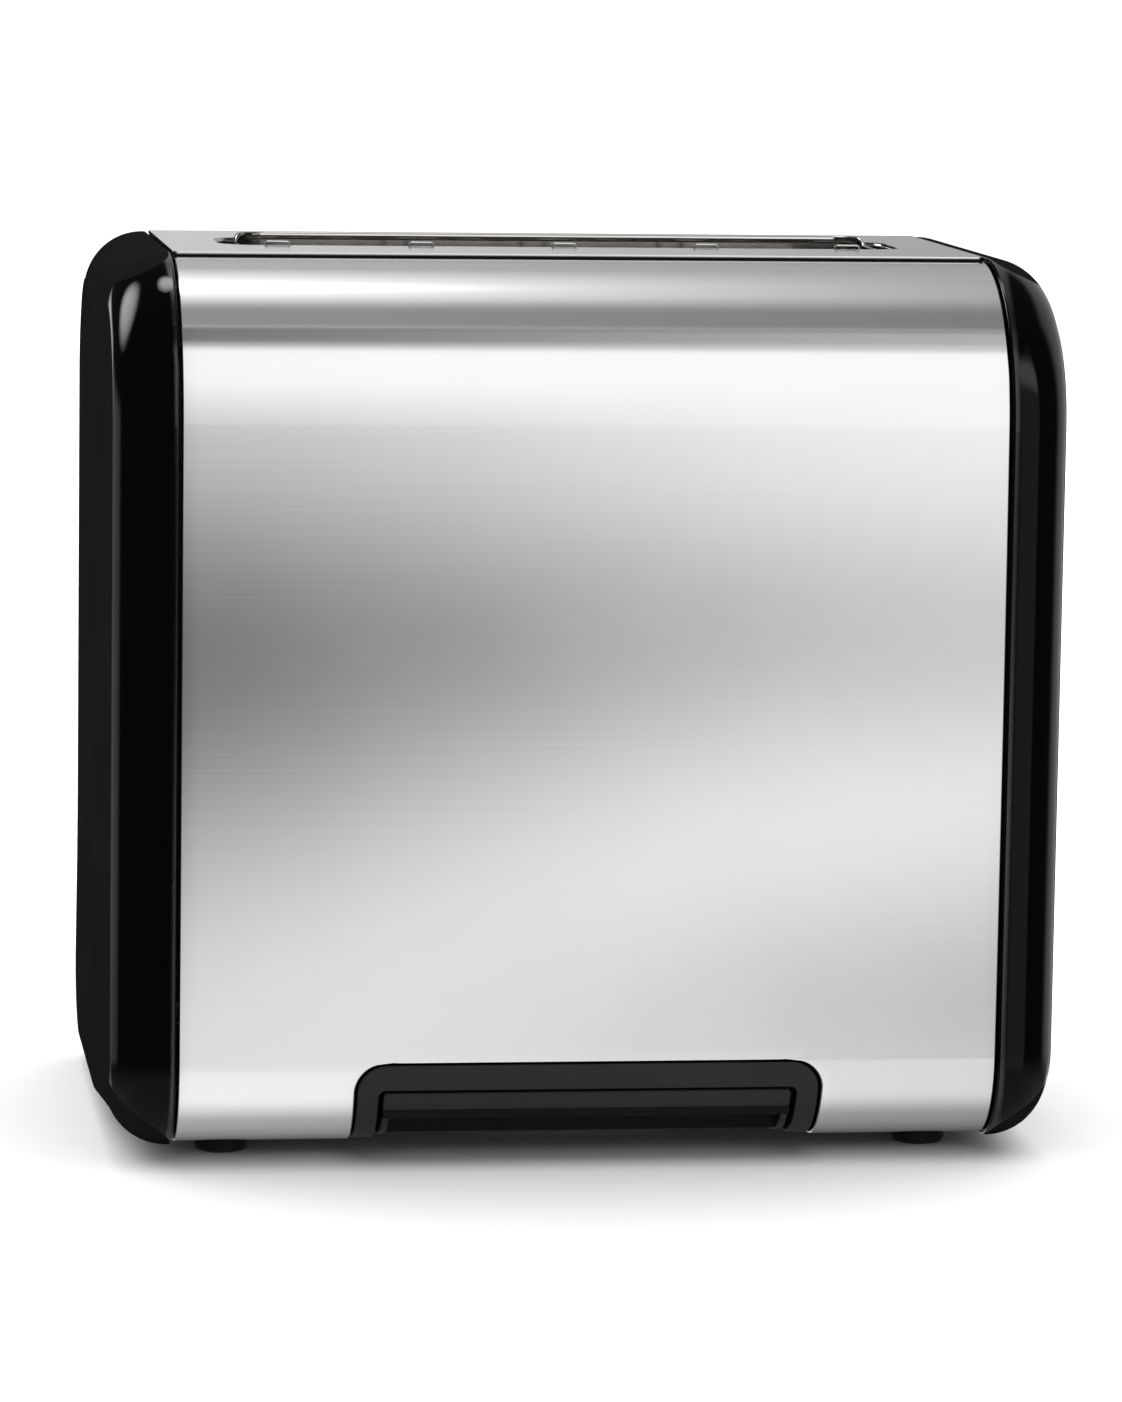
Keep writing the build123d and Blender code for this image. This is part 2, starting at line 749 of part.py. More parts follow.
# Slider on the guide rod, with the rack and the lever arm let into it
slider_low = rack_low - slider_margin
slider_top = lever_z + lever_height / 2 + slider_margin
bush_radius = rod_radius + running_gap + bush_wall
slider = box(slider_inner, slider_outer, -slider_half_width, slider_half_width,
             slider_low, slider_top)
spring_room = spring_offset - spring_radius - spring_wire
slider = slider - box(slider_inner - past, slider_outer + past, spring_room,
                      slider_half_width + past, slider_low + slider_ear, slider_top + past)
slider = slider - rod_z(bush_radius + fit_gap, slider_low - past, slider_top + past, spring_x,
                        -rod_offset)
slider = slider - box(slider_inner - past, rack_right + fit_gap, -rack_sheet / 2 - fit_gap,
                      rack_sheet / 2 + fit_gap, rack_low - fit_gap, rack_height + fit_gap)
arm_start = slider_outer - arm_pocket
slider = slider - box(arm_start - fit_gap, slider_outer + past, -lever_width / 2 - fit_gap,
                      lever_width / 2 + fit_gap, lever_z - lever_height / 2 - fit_gap,
                      lever_z + lever_height / 2 + fit_gap)
save(slider, "carriage_slider")
bush = rod_z(bush_radius, slider_low, slider_top, spring_x, -rod_offset)
bush = bush - rod_z(rod_radius + running_gap, slider_low - past, slider_top + past, spring_x,
                    -rod_offset)
save(bush, "slider_bush")

# Guide rod between two brackets on the right chassis plate
bracket_low_top = slider_low - lever_travel - part_gap - bumper_height
rod_low = bracket_low_top - bracket_thickness
bracket_high_low = slider_top + part_gap
rod_high = bracket_high_low + bracket_thickness
guide_rod = rod_z(rod_radius, rod_low, rod_high, spring_x, -rod_offset)
save(guide_rod, "guide_rod")


def bracket(z0):
    plate = box(bay_x, slider_outer, -rod_offset - bracket_half_width,
                -rod_offset + bracket_half_width, z0, z0 + bracket_thickness)
    return plate - rod_z(rod_radius + fit_gap, z0 - past, z0 + bracket_thickness + past,
                         spring_x, -rod_offset)


save(group([bracket(rod_low), bracket(bracket_high_low)]), "rod_brackets")
bumper_top = bracket_low_top + bumper_height
bumper = rod_z(bumper_radius, bracket_low_top, bumper_top, spring_x, -rod_offset)
bumper = bumper - rod_z(rod_radius + fit_gap, bracket_low_top - past, bumper_top + past,
                        spring_x, -rod_offset)
save(bumper, "stop_bumper")

# Lever arm through the slot in the cap, and the finger knob on its end
knob_inner = cap_end + control_gap
knob_outer = cap_end + control_reach
arm_end = knob_outer - knob_cover
lever_arm = box(arm_start, arm_end, -lever_width / 2, lever_width / 2,
                lever_z - lever_height / 2, lever_z + lever_height / 2)
save(lever_arm, "lever_arm")
lever_knob = box(knob_inner, knob_outer, -knob_width / 2, knob_width / 2,
                 lever_z - knob_height / 2, lever_z + knob_height / 2)
lever_knob = fillet(lever_knob.edges().filter_by(Axis.X), knob_corner)
lever_knob = fillet(lever_knob.faces().sort_by(Axis.X)[-1].edges(), knob_edge)
lever_knob = lever_knob - box(knob_inner - past, arm_end + fit_gap, -lever_width / 2 - fit_gap,
                              lever_width / 2 + fit_gap, lever_z - lever_height / 2 - fit_gap,
                              lever_z + lever_height / 2 + fit_gap)
save(lever_knob, "lever_knob")

# Lift spring: one wound wire of half turns, from the slider's ear to the anchor
spring_low = slider_low + slider_ear + part_gap
spring_height = spring_top - spring_low - spring_wire
spring_pitch = spring_height / spring_turns


def spring_point(turn):
    angle = 2 * math.pi * turn
    return (spring_x + spring_radius * math.cos(angle), spring_offset + spring_radius
            * math.sin(angle), spring_low + spring_wire / 2 + spring_pitch * turn)


arcs = []
for step in range(2 * spring_turns):
    arcs.append(ThreePointArc(spring_point(step / 2), spring_point(step / 2 + 0.25),
                              spring_point(step / 2 + 0.5)))
spring_path = Wire(arcs)
spring_start = Plane(origin=spring_point(0), z_dir=spring_path % 0)
wire_section = RegularPolygon(spring_wire / 2, spring_wire_sides)
lift_spring = sweep(spring_start * wire_section, path=spring_path)
save(lift_spring, "lift_spring")
print("lift spring: least gap between turns", round(spring_pitch - spring_wire, 2), "mm")

# Armature on the slider and the magnet that holds it down
armature_low = slider_low - armature_thickness
armature_y = -slider_half_width + armature_lap
magnet_y0 = -slider_half_width - magnet_width
armature = box(slider_inner + armature_inset, slider_outer, magnet_y0, armature_y, armature_low,
               slider_low)
save(armature, "armature")
magnet_top = armature_low - lever_travel - part_gap
magnet_low = magnet_top - magnet_height
magnet_y1 = -slider_half_width - magnet_gap
pole_x0 = spring_x - magnet_pole_depth / 2
pole_x1 = spring_x + magnet_pole_depth / 2
core = box(bay_x, pole_x1, magnet_y0, magnet_y1, magnet_low, magnet_low + magnet_pole)
coils = []
for y in (magnet_y0, magnet_y1 - magnet_pole):
    core = core + box(pole_x0, pole_x1, y, y + magnet_pole, magnet_low, magnet_top)
    coil = box(pole_x0 - coil_thickness, pole_x1 + coil_thickness, y - coil_thickness,
               y + magnet_pole + coil_thickness, magnet_low + magnet_pole + part_gap,
               magnet_low + magnet_pole + part_gap + coil_height)
    coil = fillet(coil.edges().filter_by(Axis.Z), coil_corner)
    coils.append(coil - box(pole_x0 - fit_gap, pole_x1 + fit_gap, y - fit_gap,
                            y + magnet_pole + fit_gap, magnet_low, magnet_top + past))
save(core, "magnet_core")
save(group(coils), "magnet_coils")

# Mains contacts beside the slider
contact_y = slider_half_width + contact_gap
contact_top = slider_low - lever_travel
contact_block = box(bay_x, bay_x + contact_depth, contact_y, contact_y + contact_width,
                    contact_top - contact_height, contact_top)
save(contact_block, "contact_block")
blades = [box(spring_x - blade_width / 2, spring_x + blade_width / 2, y, y + blade_thickness,
              contact_top, contact_top + blade_height)
          for y in (contact_y + blade_inset, contact_y + contact_width / 2)]
save(group(blades), "contact_blades")

# Control board, its screws, switches and the browning control
board = box(board_inner, board_outer, board_strip_y, board_edge_y, board_low_z, board_top_z)
board = board + box(board_inner, board_outer, tongue_end, board_strip_y, upper_tongue_z,
                    board_top_z)
board = board + box(board_inner, board_outer, tongue_end, board_strip_y, board_low_z,
                    lower_tongue_z)
for y, z in post_places:
    board = board - rod_x(board_screw_radius + fit_gap, board_inner - past, board_outer + past,
                          y, z)
save(board, "control_board")
board_screws = []
for y, z in post_places:
    head_end = board_inner - part_gap
    head = rod_x(board_head_radius, head_end - board_head_height, head_end, y, z)
    shank = rod_x(board_screw_radius, head_end, cap_inner - board_screw_stop, y, z)
    board_screws.append(head + shank)
save(group(board_screws), "board_screws")
switch_outer = board_outer + switch_height
switches = [box(board_outer, switch_outer, y - switch_size / 2, y + switch_size / 2,
                button_height - switch_size / 2, button_height + switch_size / 2)
            for y in button_places]
save(group(switches), "button_switches")
pot = rod_x(pot_radius, board_outer, board_outer + pot_height, 0, dial_height)
pot = pot - rod_x(shaft_radius + running_gap, board_outer - past, cap_inner, 0, dial_height)
save(pot, "browning_control")
shaft_end = cap_end + dial_reach - dial_cover
shaft = rod_x(shaft_radius, board_outer + part_gap, shaft_end, 0, dial_height)
save(shaft, "dial_shaft")

# Browning dial with a fluted rim and a pointer groove
dial_inner = cap_end + control_gap
dial_outer = cap_end + dial_reach
dial = rod_x(dial_radius, dial_inner, dial_outer, 0, dial_height)
dial = fillet(dial.faces().sort_by(Axis.X)[-1].edges(), dial_edge)
flute_circle = dial_radius + dial_flute_offset
for step in range(dial_flutes):
    angle = 2 * math.pi * step / dial_flutes
    y = flute_circle * math.sin(angle)
    z = dial_height + flute_circle * math.cos(angle)
    dial = dial - rod_x(dial_flute_radius, dial_inner + dial_skirt, dial_outer + past, y, z)
dial = dial - rod_x(shaft_radius + fit_gap, dial_inner - past, shaft_end + fit_gap, 0,
                    dial_height)
dial = dial - box(dial_outer - pointer_depth, dial_outer + past, -pointer_half, pointer_half,
                  dial_height + pointer_inner, dial_height + pointer_outer)
save(dial, "browning_dial")

# Push buttons with a collar behind the cap wall
for y, name in zip(button_places, ("cancel_button", "reheat_button", "defrost_button")):
    collar_outer = cap_inner - part_gap
    collar = rod_x(button_radius + button_collar, collar_outer - button_flange, collar_outer, y,
                   button_height)
    button_end = cap_end + button_proud
    stem = rod_x(button_radius, collar_outer, button_end, y, button_height)
    stem = fillet(stem.faces().sort_by(Axis.X)[-1].edges(), button_edge)
    save(collar + stem, name)

# Cord gland in the pan and the terminal block beside it
gland = rod_z(gland_radius, pan_low - gland_flange, pan_low, gland_x, gland_y)
gland_top = pan_top + gland_neck
gland = gland + rod_z(gland_radius - gland_flange, pan_low, gland_top, gland_x, gland_y)
gland = gland - rod_z(gland_bore, 0, gland_top + past, gland_x, gland_y)
save(gland, "cord_gland")
terminal_y = gland_y - terminal_gap
terminal_inner = pan_width + tray_gap + runner_wall + terminal_runner_gap
terminal_block = box(gland_x - terminal_half_length, -terminal_inner,
                     terminal_y - terminal_depth, terminal_y, pan_top,
                     reflector_low - terminal_drop)
save(terminal_block, "terminal_block")
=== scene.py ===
"""Looks of a compact toaster: a satin steel wrap, gloss black ends and a dark crumb tray front.

Each sub-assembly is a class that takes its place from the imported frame, works its surfaces out with
numpy and dresses them in procedural finishes. Modelling is in millimetres about the middle of the steel
body, and a mesh is moved into the row frame, in metres, when it is made.
"""

from __future__ import annotations

import json
import logging
import math
from collections.abc import Callable, Sequence
from dataclasses import dataclass
from enum import Enum

import bmesh
import bpy
import numpy as np
from bpy.types import ID, Material, Node, NodeSocket, NodeTree, Object
from mathutils import Matrix, Vector
from mathutils.geometry import delaunay_2d_cdt

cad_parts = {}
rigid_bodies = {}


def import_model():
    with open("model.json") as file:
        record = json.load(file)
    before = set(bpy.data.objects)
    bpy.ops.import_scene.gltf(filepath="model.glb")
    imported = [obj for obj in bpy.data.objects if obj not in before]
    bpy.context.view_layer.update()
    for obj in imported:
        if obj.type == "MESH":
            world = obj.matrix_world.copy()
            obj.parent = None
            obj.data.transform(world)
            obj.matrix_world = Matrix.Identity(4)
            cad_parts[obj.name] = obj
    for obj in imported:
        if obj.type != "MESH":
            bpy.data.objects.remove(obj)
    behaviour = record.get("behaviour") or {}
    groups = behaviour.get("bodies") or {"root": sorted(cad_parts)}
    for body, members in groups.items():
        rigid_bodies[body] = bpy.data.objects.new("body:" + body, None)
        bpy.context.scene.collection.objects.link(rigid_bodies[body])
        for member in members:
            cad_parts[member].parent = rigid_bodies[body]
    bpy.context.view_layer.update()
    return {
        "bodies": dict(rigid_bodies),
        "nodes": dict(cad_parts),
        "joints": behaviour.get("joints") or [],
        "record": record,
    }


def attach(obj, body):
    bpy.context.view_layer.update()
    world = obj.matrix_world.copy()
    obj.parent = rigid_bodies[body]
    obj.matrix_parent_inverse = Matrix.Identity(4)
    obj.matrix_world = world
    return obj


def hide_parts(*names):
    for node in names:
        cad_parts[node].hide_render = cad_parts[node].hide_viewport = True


LOG = logging.getLogger("toaster")
MM = 0.001
IMAGE_HEIGHT = 1402
Colour = tuple[float, float, float, float]
Range = tuple[float, float]
Part = tuple[np.ndarray, np.ndarray]


def grey(level: float, warmth: float = 0.0) -> Colour:
    """Linear grey of a level, with red raised and blue lowered by warmth."""
    return (level * (1.0 + warmth), level, level * (1.0 - warmth), 1.0)


def math_method(operation: str, swapped: bool = False) -> Callable[..., Signal]:
    """Makes a method of Signal that adds one Math node.

    Args:
        operation: the node's operation.
        swapped: whether the signal comes last, as it does with a number on the left.

    Returns:
        The method.
    """
    def method(signal: Signal, *others: float | Signal) -> Signal:
        """Adds the node on the signal and the others."""
        values = (*others, signal) if swapped else (signal, *others)
        node = signal.graph.add("ShaderNodeMath", {"operation": operation}, dict(enumerate(values)))
        return Signal(signal.graph, node.outputs[0])

    return method


class Signal:
    """A number that varies over a surface: Python's operators on it add Math nodes."""

    __add__, __radd__ = math_method("ADD"), math_method("ADD", swapped=True)
    __sub__, __rsub__ = math_method("SUBTRACT"), math_method("SUBTRACT", swapped=True)
    __mul__, __rmul__ = math_method("MULTIPLY"), math_method("MULTIPLY", swapped=True)
    __truediv__, __abs__ = math_method("DIVIDE"), math_method("ABSOLUTE")
    arctan2 = math_method("ARCTAN2")

    def __init__(self, graph: Graph, socket: NodeSocket) -> None:
        """Wraps one output socket of a graph."""
        self.graph = graph
        self.socket = socket

    def rise(self, low: float, high: float) -> Signal:
        """Smooth step: 0 below low, 1 above high."""
        node = self.graph.add(
            "ShaderNodeMapRange",
            {"interpolation_type": "SMOOTHSTEP", "clamp": True},
            {"Value": self, "From Min": low, "From Max": high, "To Min": 0.0, "To Max": 1.0},
        )
        return Signal(self.graph, node.outputs["Result"])

    def band(self, low: float, high: float, soft: float) -> Signal:
        """1 between low and high, with soft edges that are this wide."""
        return self.rise(low - soft, low + soft) * (1.0 - self.rise(high - soft, high + soft))


class Graph:
    """The nodes of one material or world."""

    def __init__(self, tree: NodeTree) -> None:
        """Empties the tree, which is then filled by add."""
        self.tree = tree
        self.tree.nodes.clear()

    def add(self, kind: str, settings: dict | None = None, inputs: dict | None = None) -> Node:
        """Adds one node.

        Args:
            kind: the node's type name.
            settings: attributes, which are set first.
            inputs: values, signals or sockets by the input's name or number.

        Returns:
            The new node.
        """
        node = self.tree.nodes.new(kind)
        for name, value in (settings or {}).items():
            setattr(node, name, value)
        for name, value in (inputs or {}).items():
            if isinstance(value, Signal):
                self.tree.links.new(value.socket, node.inputs[name])
            elif isinstance(value, NodeSocket):
                self.tree.links.new(value, node.inputs[name])
            else:
                node.inputs[name].default_value = value
        return node

    def place(self, scale: tuple[float, float, float] = (1.0, 1.0, 1.0)) -> NodeSocket:
        """Object coordinates in metres, times a scale for each axis."""
        source = self.add("ShaderNodeTexCoord").outputs["Object"]
        mapping = self.add("ShaderNodeMapping", {"vector_type": "POINT"},
                           {"Vector": source, "Scale": scale})
        return mapping.outputs["Vector"]

    def axes(self, vector: NodeSocket) -> tuple[Signal, Signal, Signal]:
        """The three numbers of a vector."""
        split = self.add("ShaderNodeSeparateXYZ", None, {"Vector": vector})
        return tuple(Signal(self, split.outputs[name]) for name in "XYZ")

    def noise(self, vector: NodeSocket, scale: float, detail: float, roughness: float) -> Signal:
        """Noise from 0 to 1 on a vector."""
        node = self.add("ShaderNodeTexNoise", {"noise_dimensions": "3D"},
                        {"Vector": vector, "Scale": scale, "Detail": detail, "Roughness": roughness})
        return Signal(self, node.outputs["Fac"])

    def blend(self, factor: float | Signal, first: object, second: object) -> NodeSocket:
        """Colour that goes from first to second as factor goes from 0 to 1."""
        node = self.add("ShaderNodeMix", {"data_type": "RGBA"}, {0: factor, 6: first, 7: second})
        return node.outputs[2]

    def bump(self, height: Signal, strength: float, distance: float) -> NodeSocket:
        """Normal tilted by a height, for a Normal input."""
        node = self.add("ShaderNodeBump", None,
                        {"Height": height, "Strength": strength, "Distance": distance})
        return node.outputs["Normal"]

    def close(self, shader: Node, kind: str = "ShaderNodeOutputMaterial") -> None:
        """Links a shader to the output."""
        self.add(kind, None, {"Surface": shader.outputs[0]})


def new_graph(name: str) -> tuple[Material, Graph]:
    """A material of that name with an empty graph."""
    material = bpy.data.materials.new(name)
    material.use_nodes = True
    return material, Graph(material.node_tree)


class Grain(Enum):
    """Which way the fine lines of a metal run."""

    ALONG_X = (12.0, 900.0, 900.0)
    NONE = (300.0, 300.0, 300.0)


@dataclass(frozen=True)
class MetalFinish:
    """A metal with fine lines, a little haze and clouded roughness."""

    name: str
    colour: Colour
    shade: Colour
    roughness: float
    haze: float = 0.03
    grain: Grain = Grain.NONE
    grain_depth: float = 0.02
    cloud_scale: float = 28.0
    relief: float = 0.0004

    def material(self) -> Material:
        """Builds the material."""
        made, graph = new_graph(self.name)
        lines = graph.noise(graph.place(self.grain.value), 1.0, 3.0, 0.6)
        clouds = graph.noise(graph.place(), self.cloud_scale, 3.0, 0.55)
        colour = graph.blend(clouds.rise(0.25, 0.8), self.shade, self.colour)
        roughness = self.roughness + (clouds - 0.5) * self.haze + (lines - 0.5) * self.haze
        shader = graph.add("ShaderNodeBsdfPrincipled", None, {
            "Base Color": colour, "Metallic": 1.0, "Roughness": roughness,
            "Normal": graph.bump(lines, self.grain_depth, self.relief)})
        graph.close(shader)
        return made


@dataclass(frozen=True)
class PlasticFinish:
    """A moulded plastic or rubber with a fine mould texture and clouded gloss."""

    name: str
    colour: Colour
    roughness: float
    haze: float = 0.04
    texture_scale: float = 900.0
    texture_depth: float = 0.05
    specular: float = 0.5
    wear: float = 0.25
    cloud_scale: float = 35.0
    relief: float = 0.0002

    def shader(self, graph: Graph) -> Node:
        """Adds this finish's shader to a graph."""
        texture = graph.noise(graph.place(), self.texture_scale, 2.0, 0.6)
        clouds = graph.noise(graph.place(), self.cloud_scale, 4.0, 0.55)
        light = tuple(min(1.0, channel * (1.0 + self.wear)) for channel in self.colour[:3])
        colour = graph.blend(clouds.rise(0.3, 0.8), self.colour, (*light, 1.0))
        roughness = self.roughness + (clouds - 0.5) * self.haze + (texture - 0.5) * self.haze
        return graph.add("ShaderNodeBsdfPrincipled", None, {
            "Base Color": colour, "Roughness": roughness, "IOR": 1.5,
            "Specular IOR Level": self.specular,
            "Normal": graph.bump(texture, self.texture_depth, self.relief)})

    def material(self) -> Material:
        """Builds the material."""
        made, graph = new_graph(self.name)
        graph.close(self.shader(graph))
        return made


@dataclass(frozen=True)
class CapFinish:
    """Gloss black front round on a satin moulding.

    The edge between the two follows the crease up the end face's front, and swings over the top and
    the bottom round to the seam. Behind satin_back all is satin. Distances are in metres: along X from
    the middle of the steel for face_x, seam_x and edge, along Z for the swings, along Y for satin_back.
    """

    name: str
    gloss: PlasticFinish
    satin: PlasticFinish
    face_x: float
    seam_x: float
    edge: float
    top_swing: Range = (0.185, 0.1939)
    low_swing: Range = (0.004, 0.019)
    satin_back: Range = (-0.04, -0.032)

    def material(self) -> Material:
        """Builds the material."""
        made, graph = new_graph(self.name)
        x, y, z = graph.axes(graph.place())
        swing = z.rise(*self.top_swing) + (1.0 - z.rise(*self.low_swing))
        border = self.face_x - swing * (self.face_x - self.seam_x)
        face = (abs(x - BodyShape.middle * MM) - border).rise(-self.edge, 0.0)
        face = 1.0 - (1.0 - face) * (1.0 - y.rise(*self.satin_back))
        graph.close(graph.add("ShaderNodeMixShader", None, {
            0: face, 1: self.gloss.shader(graph).outputs[0], 2: self.satin.shader(graph).outputs[0]}))
        return made


@dataclass(frozen=True)
class BodyShape:
    """Side outline of the body: a rectangle with large top rounds and smaller bottom rounds."""

    middle: float = -5.0
    half_depth: float = 75.0
    half_length: float = 87.75
    low: float = 4.0
    top: float = 192.45
    top_round: float = 34.0
    bottom_round: float = 20.0

    def loop(self, inset: np.ndarray, arc_steps: int = 40, flat_steps: int = 12) -> np.ndarray:
        """Closed side outline, drawn in by each inset.

        The corners are quarter circles about fixed centres, of the corner's own radius less the inset.
        It runs from the rear top round over the front to the rear.

        Args:
            inset: distances that the outline is drawn in, one for each row.
            arc_steps: steps on each quarter circle.
            flat_steps: steps on each straight stretch.

        Returns:
            Points of shape (rows, columns, 2) as Y and Z.
        """
        quarter = np.linspace(0.0, math.pi / 2, arc_steps + 1)
        top, low = self.top - self.top_round, self.low + self.bottom_round
        corners = ((1, top, self.top_round), (-1, top, self.top_round),
                   (-1, low, self.bottom_round), (1, low, self.bottom_round))
        inset = np.asarray(inset, float)[:, None]
        arcs = []
        for turn, (side, z, radius) in enumerate(corners):
            angle = quarter + turn * math.pi / 2
            reach = radius - inset
            arcs.append(together(side * (self.half_depth - radius) + reach * np.cos(angle),
                                 z + reach * np.sin(angle)))
        return join_arcs(arcs, flat_steps)


BODY = BodyShape()


def together(*values: np.ndarray | float) -> np.ndarray:
    """Points whose coordinates are these arrays or numbers, all spread to one shape."""
    return np.stack(np.broadcast_arrays(*values), axis=-1)


def join_arcs(arcs: list[np.ndarray], steps: int) -> np.ndarray:
    """Joins the corners of closed outlines by straight stretches.

    Args:
        arcs: points of each corner, of shape (columns, 2), or (rows, columns, 2) for several outlines.
        steps: steps on each straight stretch.

    Returns:
        Points of the outlines, of shape (columns, 2) or (rows, columns, 2).
    """
    share = np.linspace(0.0, 1.0, steps + 1)[1:-1, None]
    pieces = []
    for arc, following in zip(arcs, arcs[1:] + arcs[:1]):
        start, end = arc[..., -1:, :], following[..., :1, :]
        pieces += [arc, start + (end - start) * share]
    return np.concatenate(pieces, axis=-2)


def surface(points: np.ndarray, wrap_rows: bool = False, wrap_columns: bool = False) -> Part:
    """Joins a grid of points with four-sided faces.

    Args:
        points: the grid, of shape (rows, columns, 3).
        wrap_rows: whether the last row joins the first.
        wrap_columns: whether the last column joins the first.

    Returns:
        The points, and the point numbers of each face.
    """
    rows, columns = points.shape[:2]
    row = np.arange(rows if wrap_rows else rows - 1)[:, None]
    column = np.arange(columns if wrap_columns else columns - 1)[None, :]
    below = (row + 1) % rows
    right = (column + 1) % columns
    faces = together(row * columns + column, row * columns + right, below * columns + right,
                     below * columns + column)
    return points, faces.reshape(-1, 4)


def add_object(name: str, data: ID) -> Object:
    """Adds an object with this mesh or camera to the scene."""
    added = bpy.data.objects.new(name, data)
    bpy.context.scene.collection.objects.link(added)
    return added


def make_piece(name: str, parts: list[Part], merge: float = 1e-4, recalculate: bool = True) -> Object:
    """Makes one object of several point and face arrays.

    Args:
        name: the piece's name.
        parts: pairs of points, of shape (n, 3) in millimetres about the middle of the steel, and faces.
        merge: points nearer than this many millimetres become one.
        recalculate: whether faces are turned to point out of the closed shape.

    Returns:
        The object, at the origin, smooth shaded.
    """
    points, faces, count = [], [], 0
    for part_points, part_faces in parts:
        flat = np.asarray(part_points, float).reshape(-1, 3)
        points.append(flat)
        faces += (np.asarray(part_faces) + count).tolist()
        count += len(flat)
    place = (np.concatenate(points) + np.array([BODY.middle, 0.0, 0.0])) * MM
    mesh = bpy.data.meshes.new(name)
    mesh.from_pydata(place.tolist(), [], faces)
    work = bmesh.new()
    work.from_mesh(mesh)
    bmesh.ops.remove_doubles(work, verts=work.verts, dist=merge * MM)
    bmesh.ops.dissolve_degenerate(work, edges=work.edges, dist=merge * MM)
    if recalculate:
        bmesh.ops.recalc_face_normals(work, faces=work.faces)
    work.to_mesh(mesh)
    work.free()
    mesh.polygons.foreach_set("use_smooth", np.ones(len(mesh.polygons), bool))
    return add_object(name, mesh)


def thicken(piece: Object, thickness: float) -> None:
    """Gives an open surface a wall, inwards from its faces."""
    wall = piece.modifiers.new("wall", "SOLIDIFY")
    wall.thickness = thickness * MM
    wall.offset = -1.0
    wall.use_even_offset = True


def flatten_shading(piece: Object) -> None:
    """Keeps a piece's large faces flat in the shading."""
    shading = piece.modifiers.new("shading", "WEIGHTED_NORMAL")
    shading.weight = 50
    shading.keep_sharp = True


def soften(piece: Object, width: float, segments: int = 3, angle: float = 35.0) -> None:
    """Rounds a piece's sharp edges and keeps its flat faces flat in the shading."""
    edge = piece.modifiers.new("edge", "BEVEL")
    edge.width = width * MM
    edge.segments = segments
    edge.limit_method = "ANGLE"
    edge.angle_limit = math.radians(angle)
    edge.use_clamp_overlap = True
    flatten_shading(piece)


def finish_piece(piece: Object, material: Material, body: str, slot: str, *nodes: str) -> None:
    """Dresses a piece, puts it on its body and says which nodes it stands for."""
    piece.data.materials.clear()
    piece.data.materials.append(material)
    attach(piece, body)
    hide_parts(*nodes)
    LOG.info("%s rides on %s and stands for %s", piece.name, body, ", ".join(nodes) or "no node")


def add_flat(name: str, parts: list[Part], material: Material, body: str, slot: str,
             *nodes: str) -> None:
    """Makes and dresses a piece whose large faces stay flat in the shading."""
    piece = make_piece(name, parts)
    flatten_shading(piece)
    finish_piece(piece, material, body, slot, *nodes)


def profile_along(loop: np.ndarray, outward: np.ndarray, offsets: np.ndarray,
                  heights: np.ndarray) -> np.ndarray:
    """Carries a profile along a level loop.

    Each point is the loop's point, plus the loop's outward direction times the profile's offset, at the
    profile's height.

    Args:
        loop: points of the loop as X and Y, of shape (n, 2).
        outward: unit directions of shape (n, 2).
        offsets: profile offsets of shape (k,) or (n, k).
        heights: profile heights of shape (k,) or (n, k).

    Returns:
        Points of shape (n, k, 3).
    """
    x, y = (loop[:, None, :] + outward[:, None, :] * offsets[..., None]).transpose(2, 0, 1)
    return together(x, y, heights)


def rounded_loop(half_x: float, half_y: float, corner: float, arc_steps: int = 16,
                 flat_steps: int = 30) -> tuple[np.ndarray, np.ndarray]:
    """Level rounded rectangle with its outward directions, run against the clock from +X.

    Args:
        half_x: half the length along X.
        half_y: half the width along Y.
        corner: radius of the corners.
        arc_steps: steps on each corner.
        flat_steps: steps on each side.

    Returns:
        Points and unit outward directions, both of shape (n, 2).
    """
    arcs, normals = [], []
    quarter = np.linspace(0.0, math.pi / 2, arc_steps + 1)
    for turn, sign in enumerate(((1, 1), (-1, 1), (-1, -1), (1, -1))):
        angle = quarter + turn * math.pi / 2
        normal = together(np.cos(angle), np.sin(angle))
        arcs.append(np.array(sign) * (half_x - corner, half_y - corner) + corner * normal)
        normals.append(normal)
    return join_arcs(arcs, flat_steps), join_arcs(normals, flat_steps)


def arc_points(centre: tuple[float, float], radius: float, start: float, end: float,
               steps: int) -> np.ndarray:
    """Points on an arc between two angles in degrees, of shape (steps + 1, 2)."""
    angle = np.radians(np.linspace(start, end, steps + 1))
    return together(centre[0] + radius * np.cos(angle), centre[1] + radius * np.sin(angle))


def smooth(share: np.ndarray) -> np.ndarray:
    """Smooth step of shares from 0 to 1."""
    return share * share * (3.0 - 2.0 * share)


def block(x: Sequence[float], y: Sequence[float], z: Sequence[float]) -> Part:
    """Six-sided block between these pairs of X, Y and Z."""
    corners = np.array([(i, j, k) for i in x for j in y for k in z], float)
    faces = np.array([(0, 1, 3, 2), (4, 6, 7, 5), (0, 4, 5, 1), (2, 3, 7, 6), (0, 2, 6, 4),
                      (1, 5, 7, 3)])
    return corners, faces


def closed_end(ring: np.ndarray) -> Part:
    """One flat many-sided face on a ring of points."""
    return ring, np.arange(len(ring))[None, :]


def lathe(profile: np.ndarray, steps: int) -> Part:
    """Turns a profile about the X axis.

    Each point is at the profile's distance along X, and at its radius times the cosine and the sine
    of the turn.

    Args:
        profile: radius and distance of each point, of shape (n, 2).
        steps: points round the axis.

    Returns:
        Points of shape (n, steps, 3), and faces.
    """
    angle = np.linspace(0.0, 2 * math.pi, steps, endpoint=False)[None, :]
    radius, along = profile[:, :1], profile[:, 1:]
    points = together(along, radius * np.cos(angle), radius * np.sin(angle))
    return surface(points, wrap_columns=True)


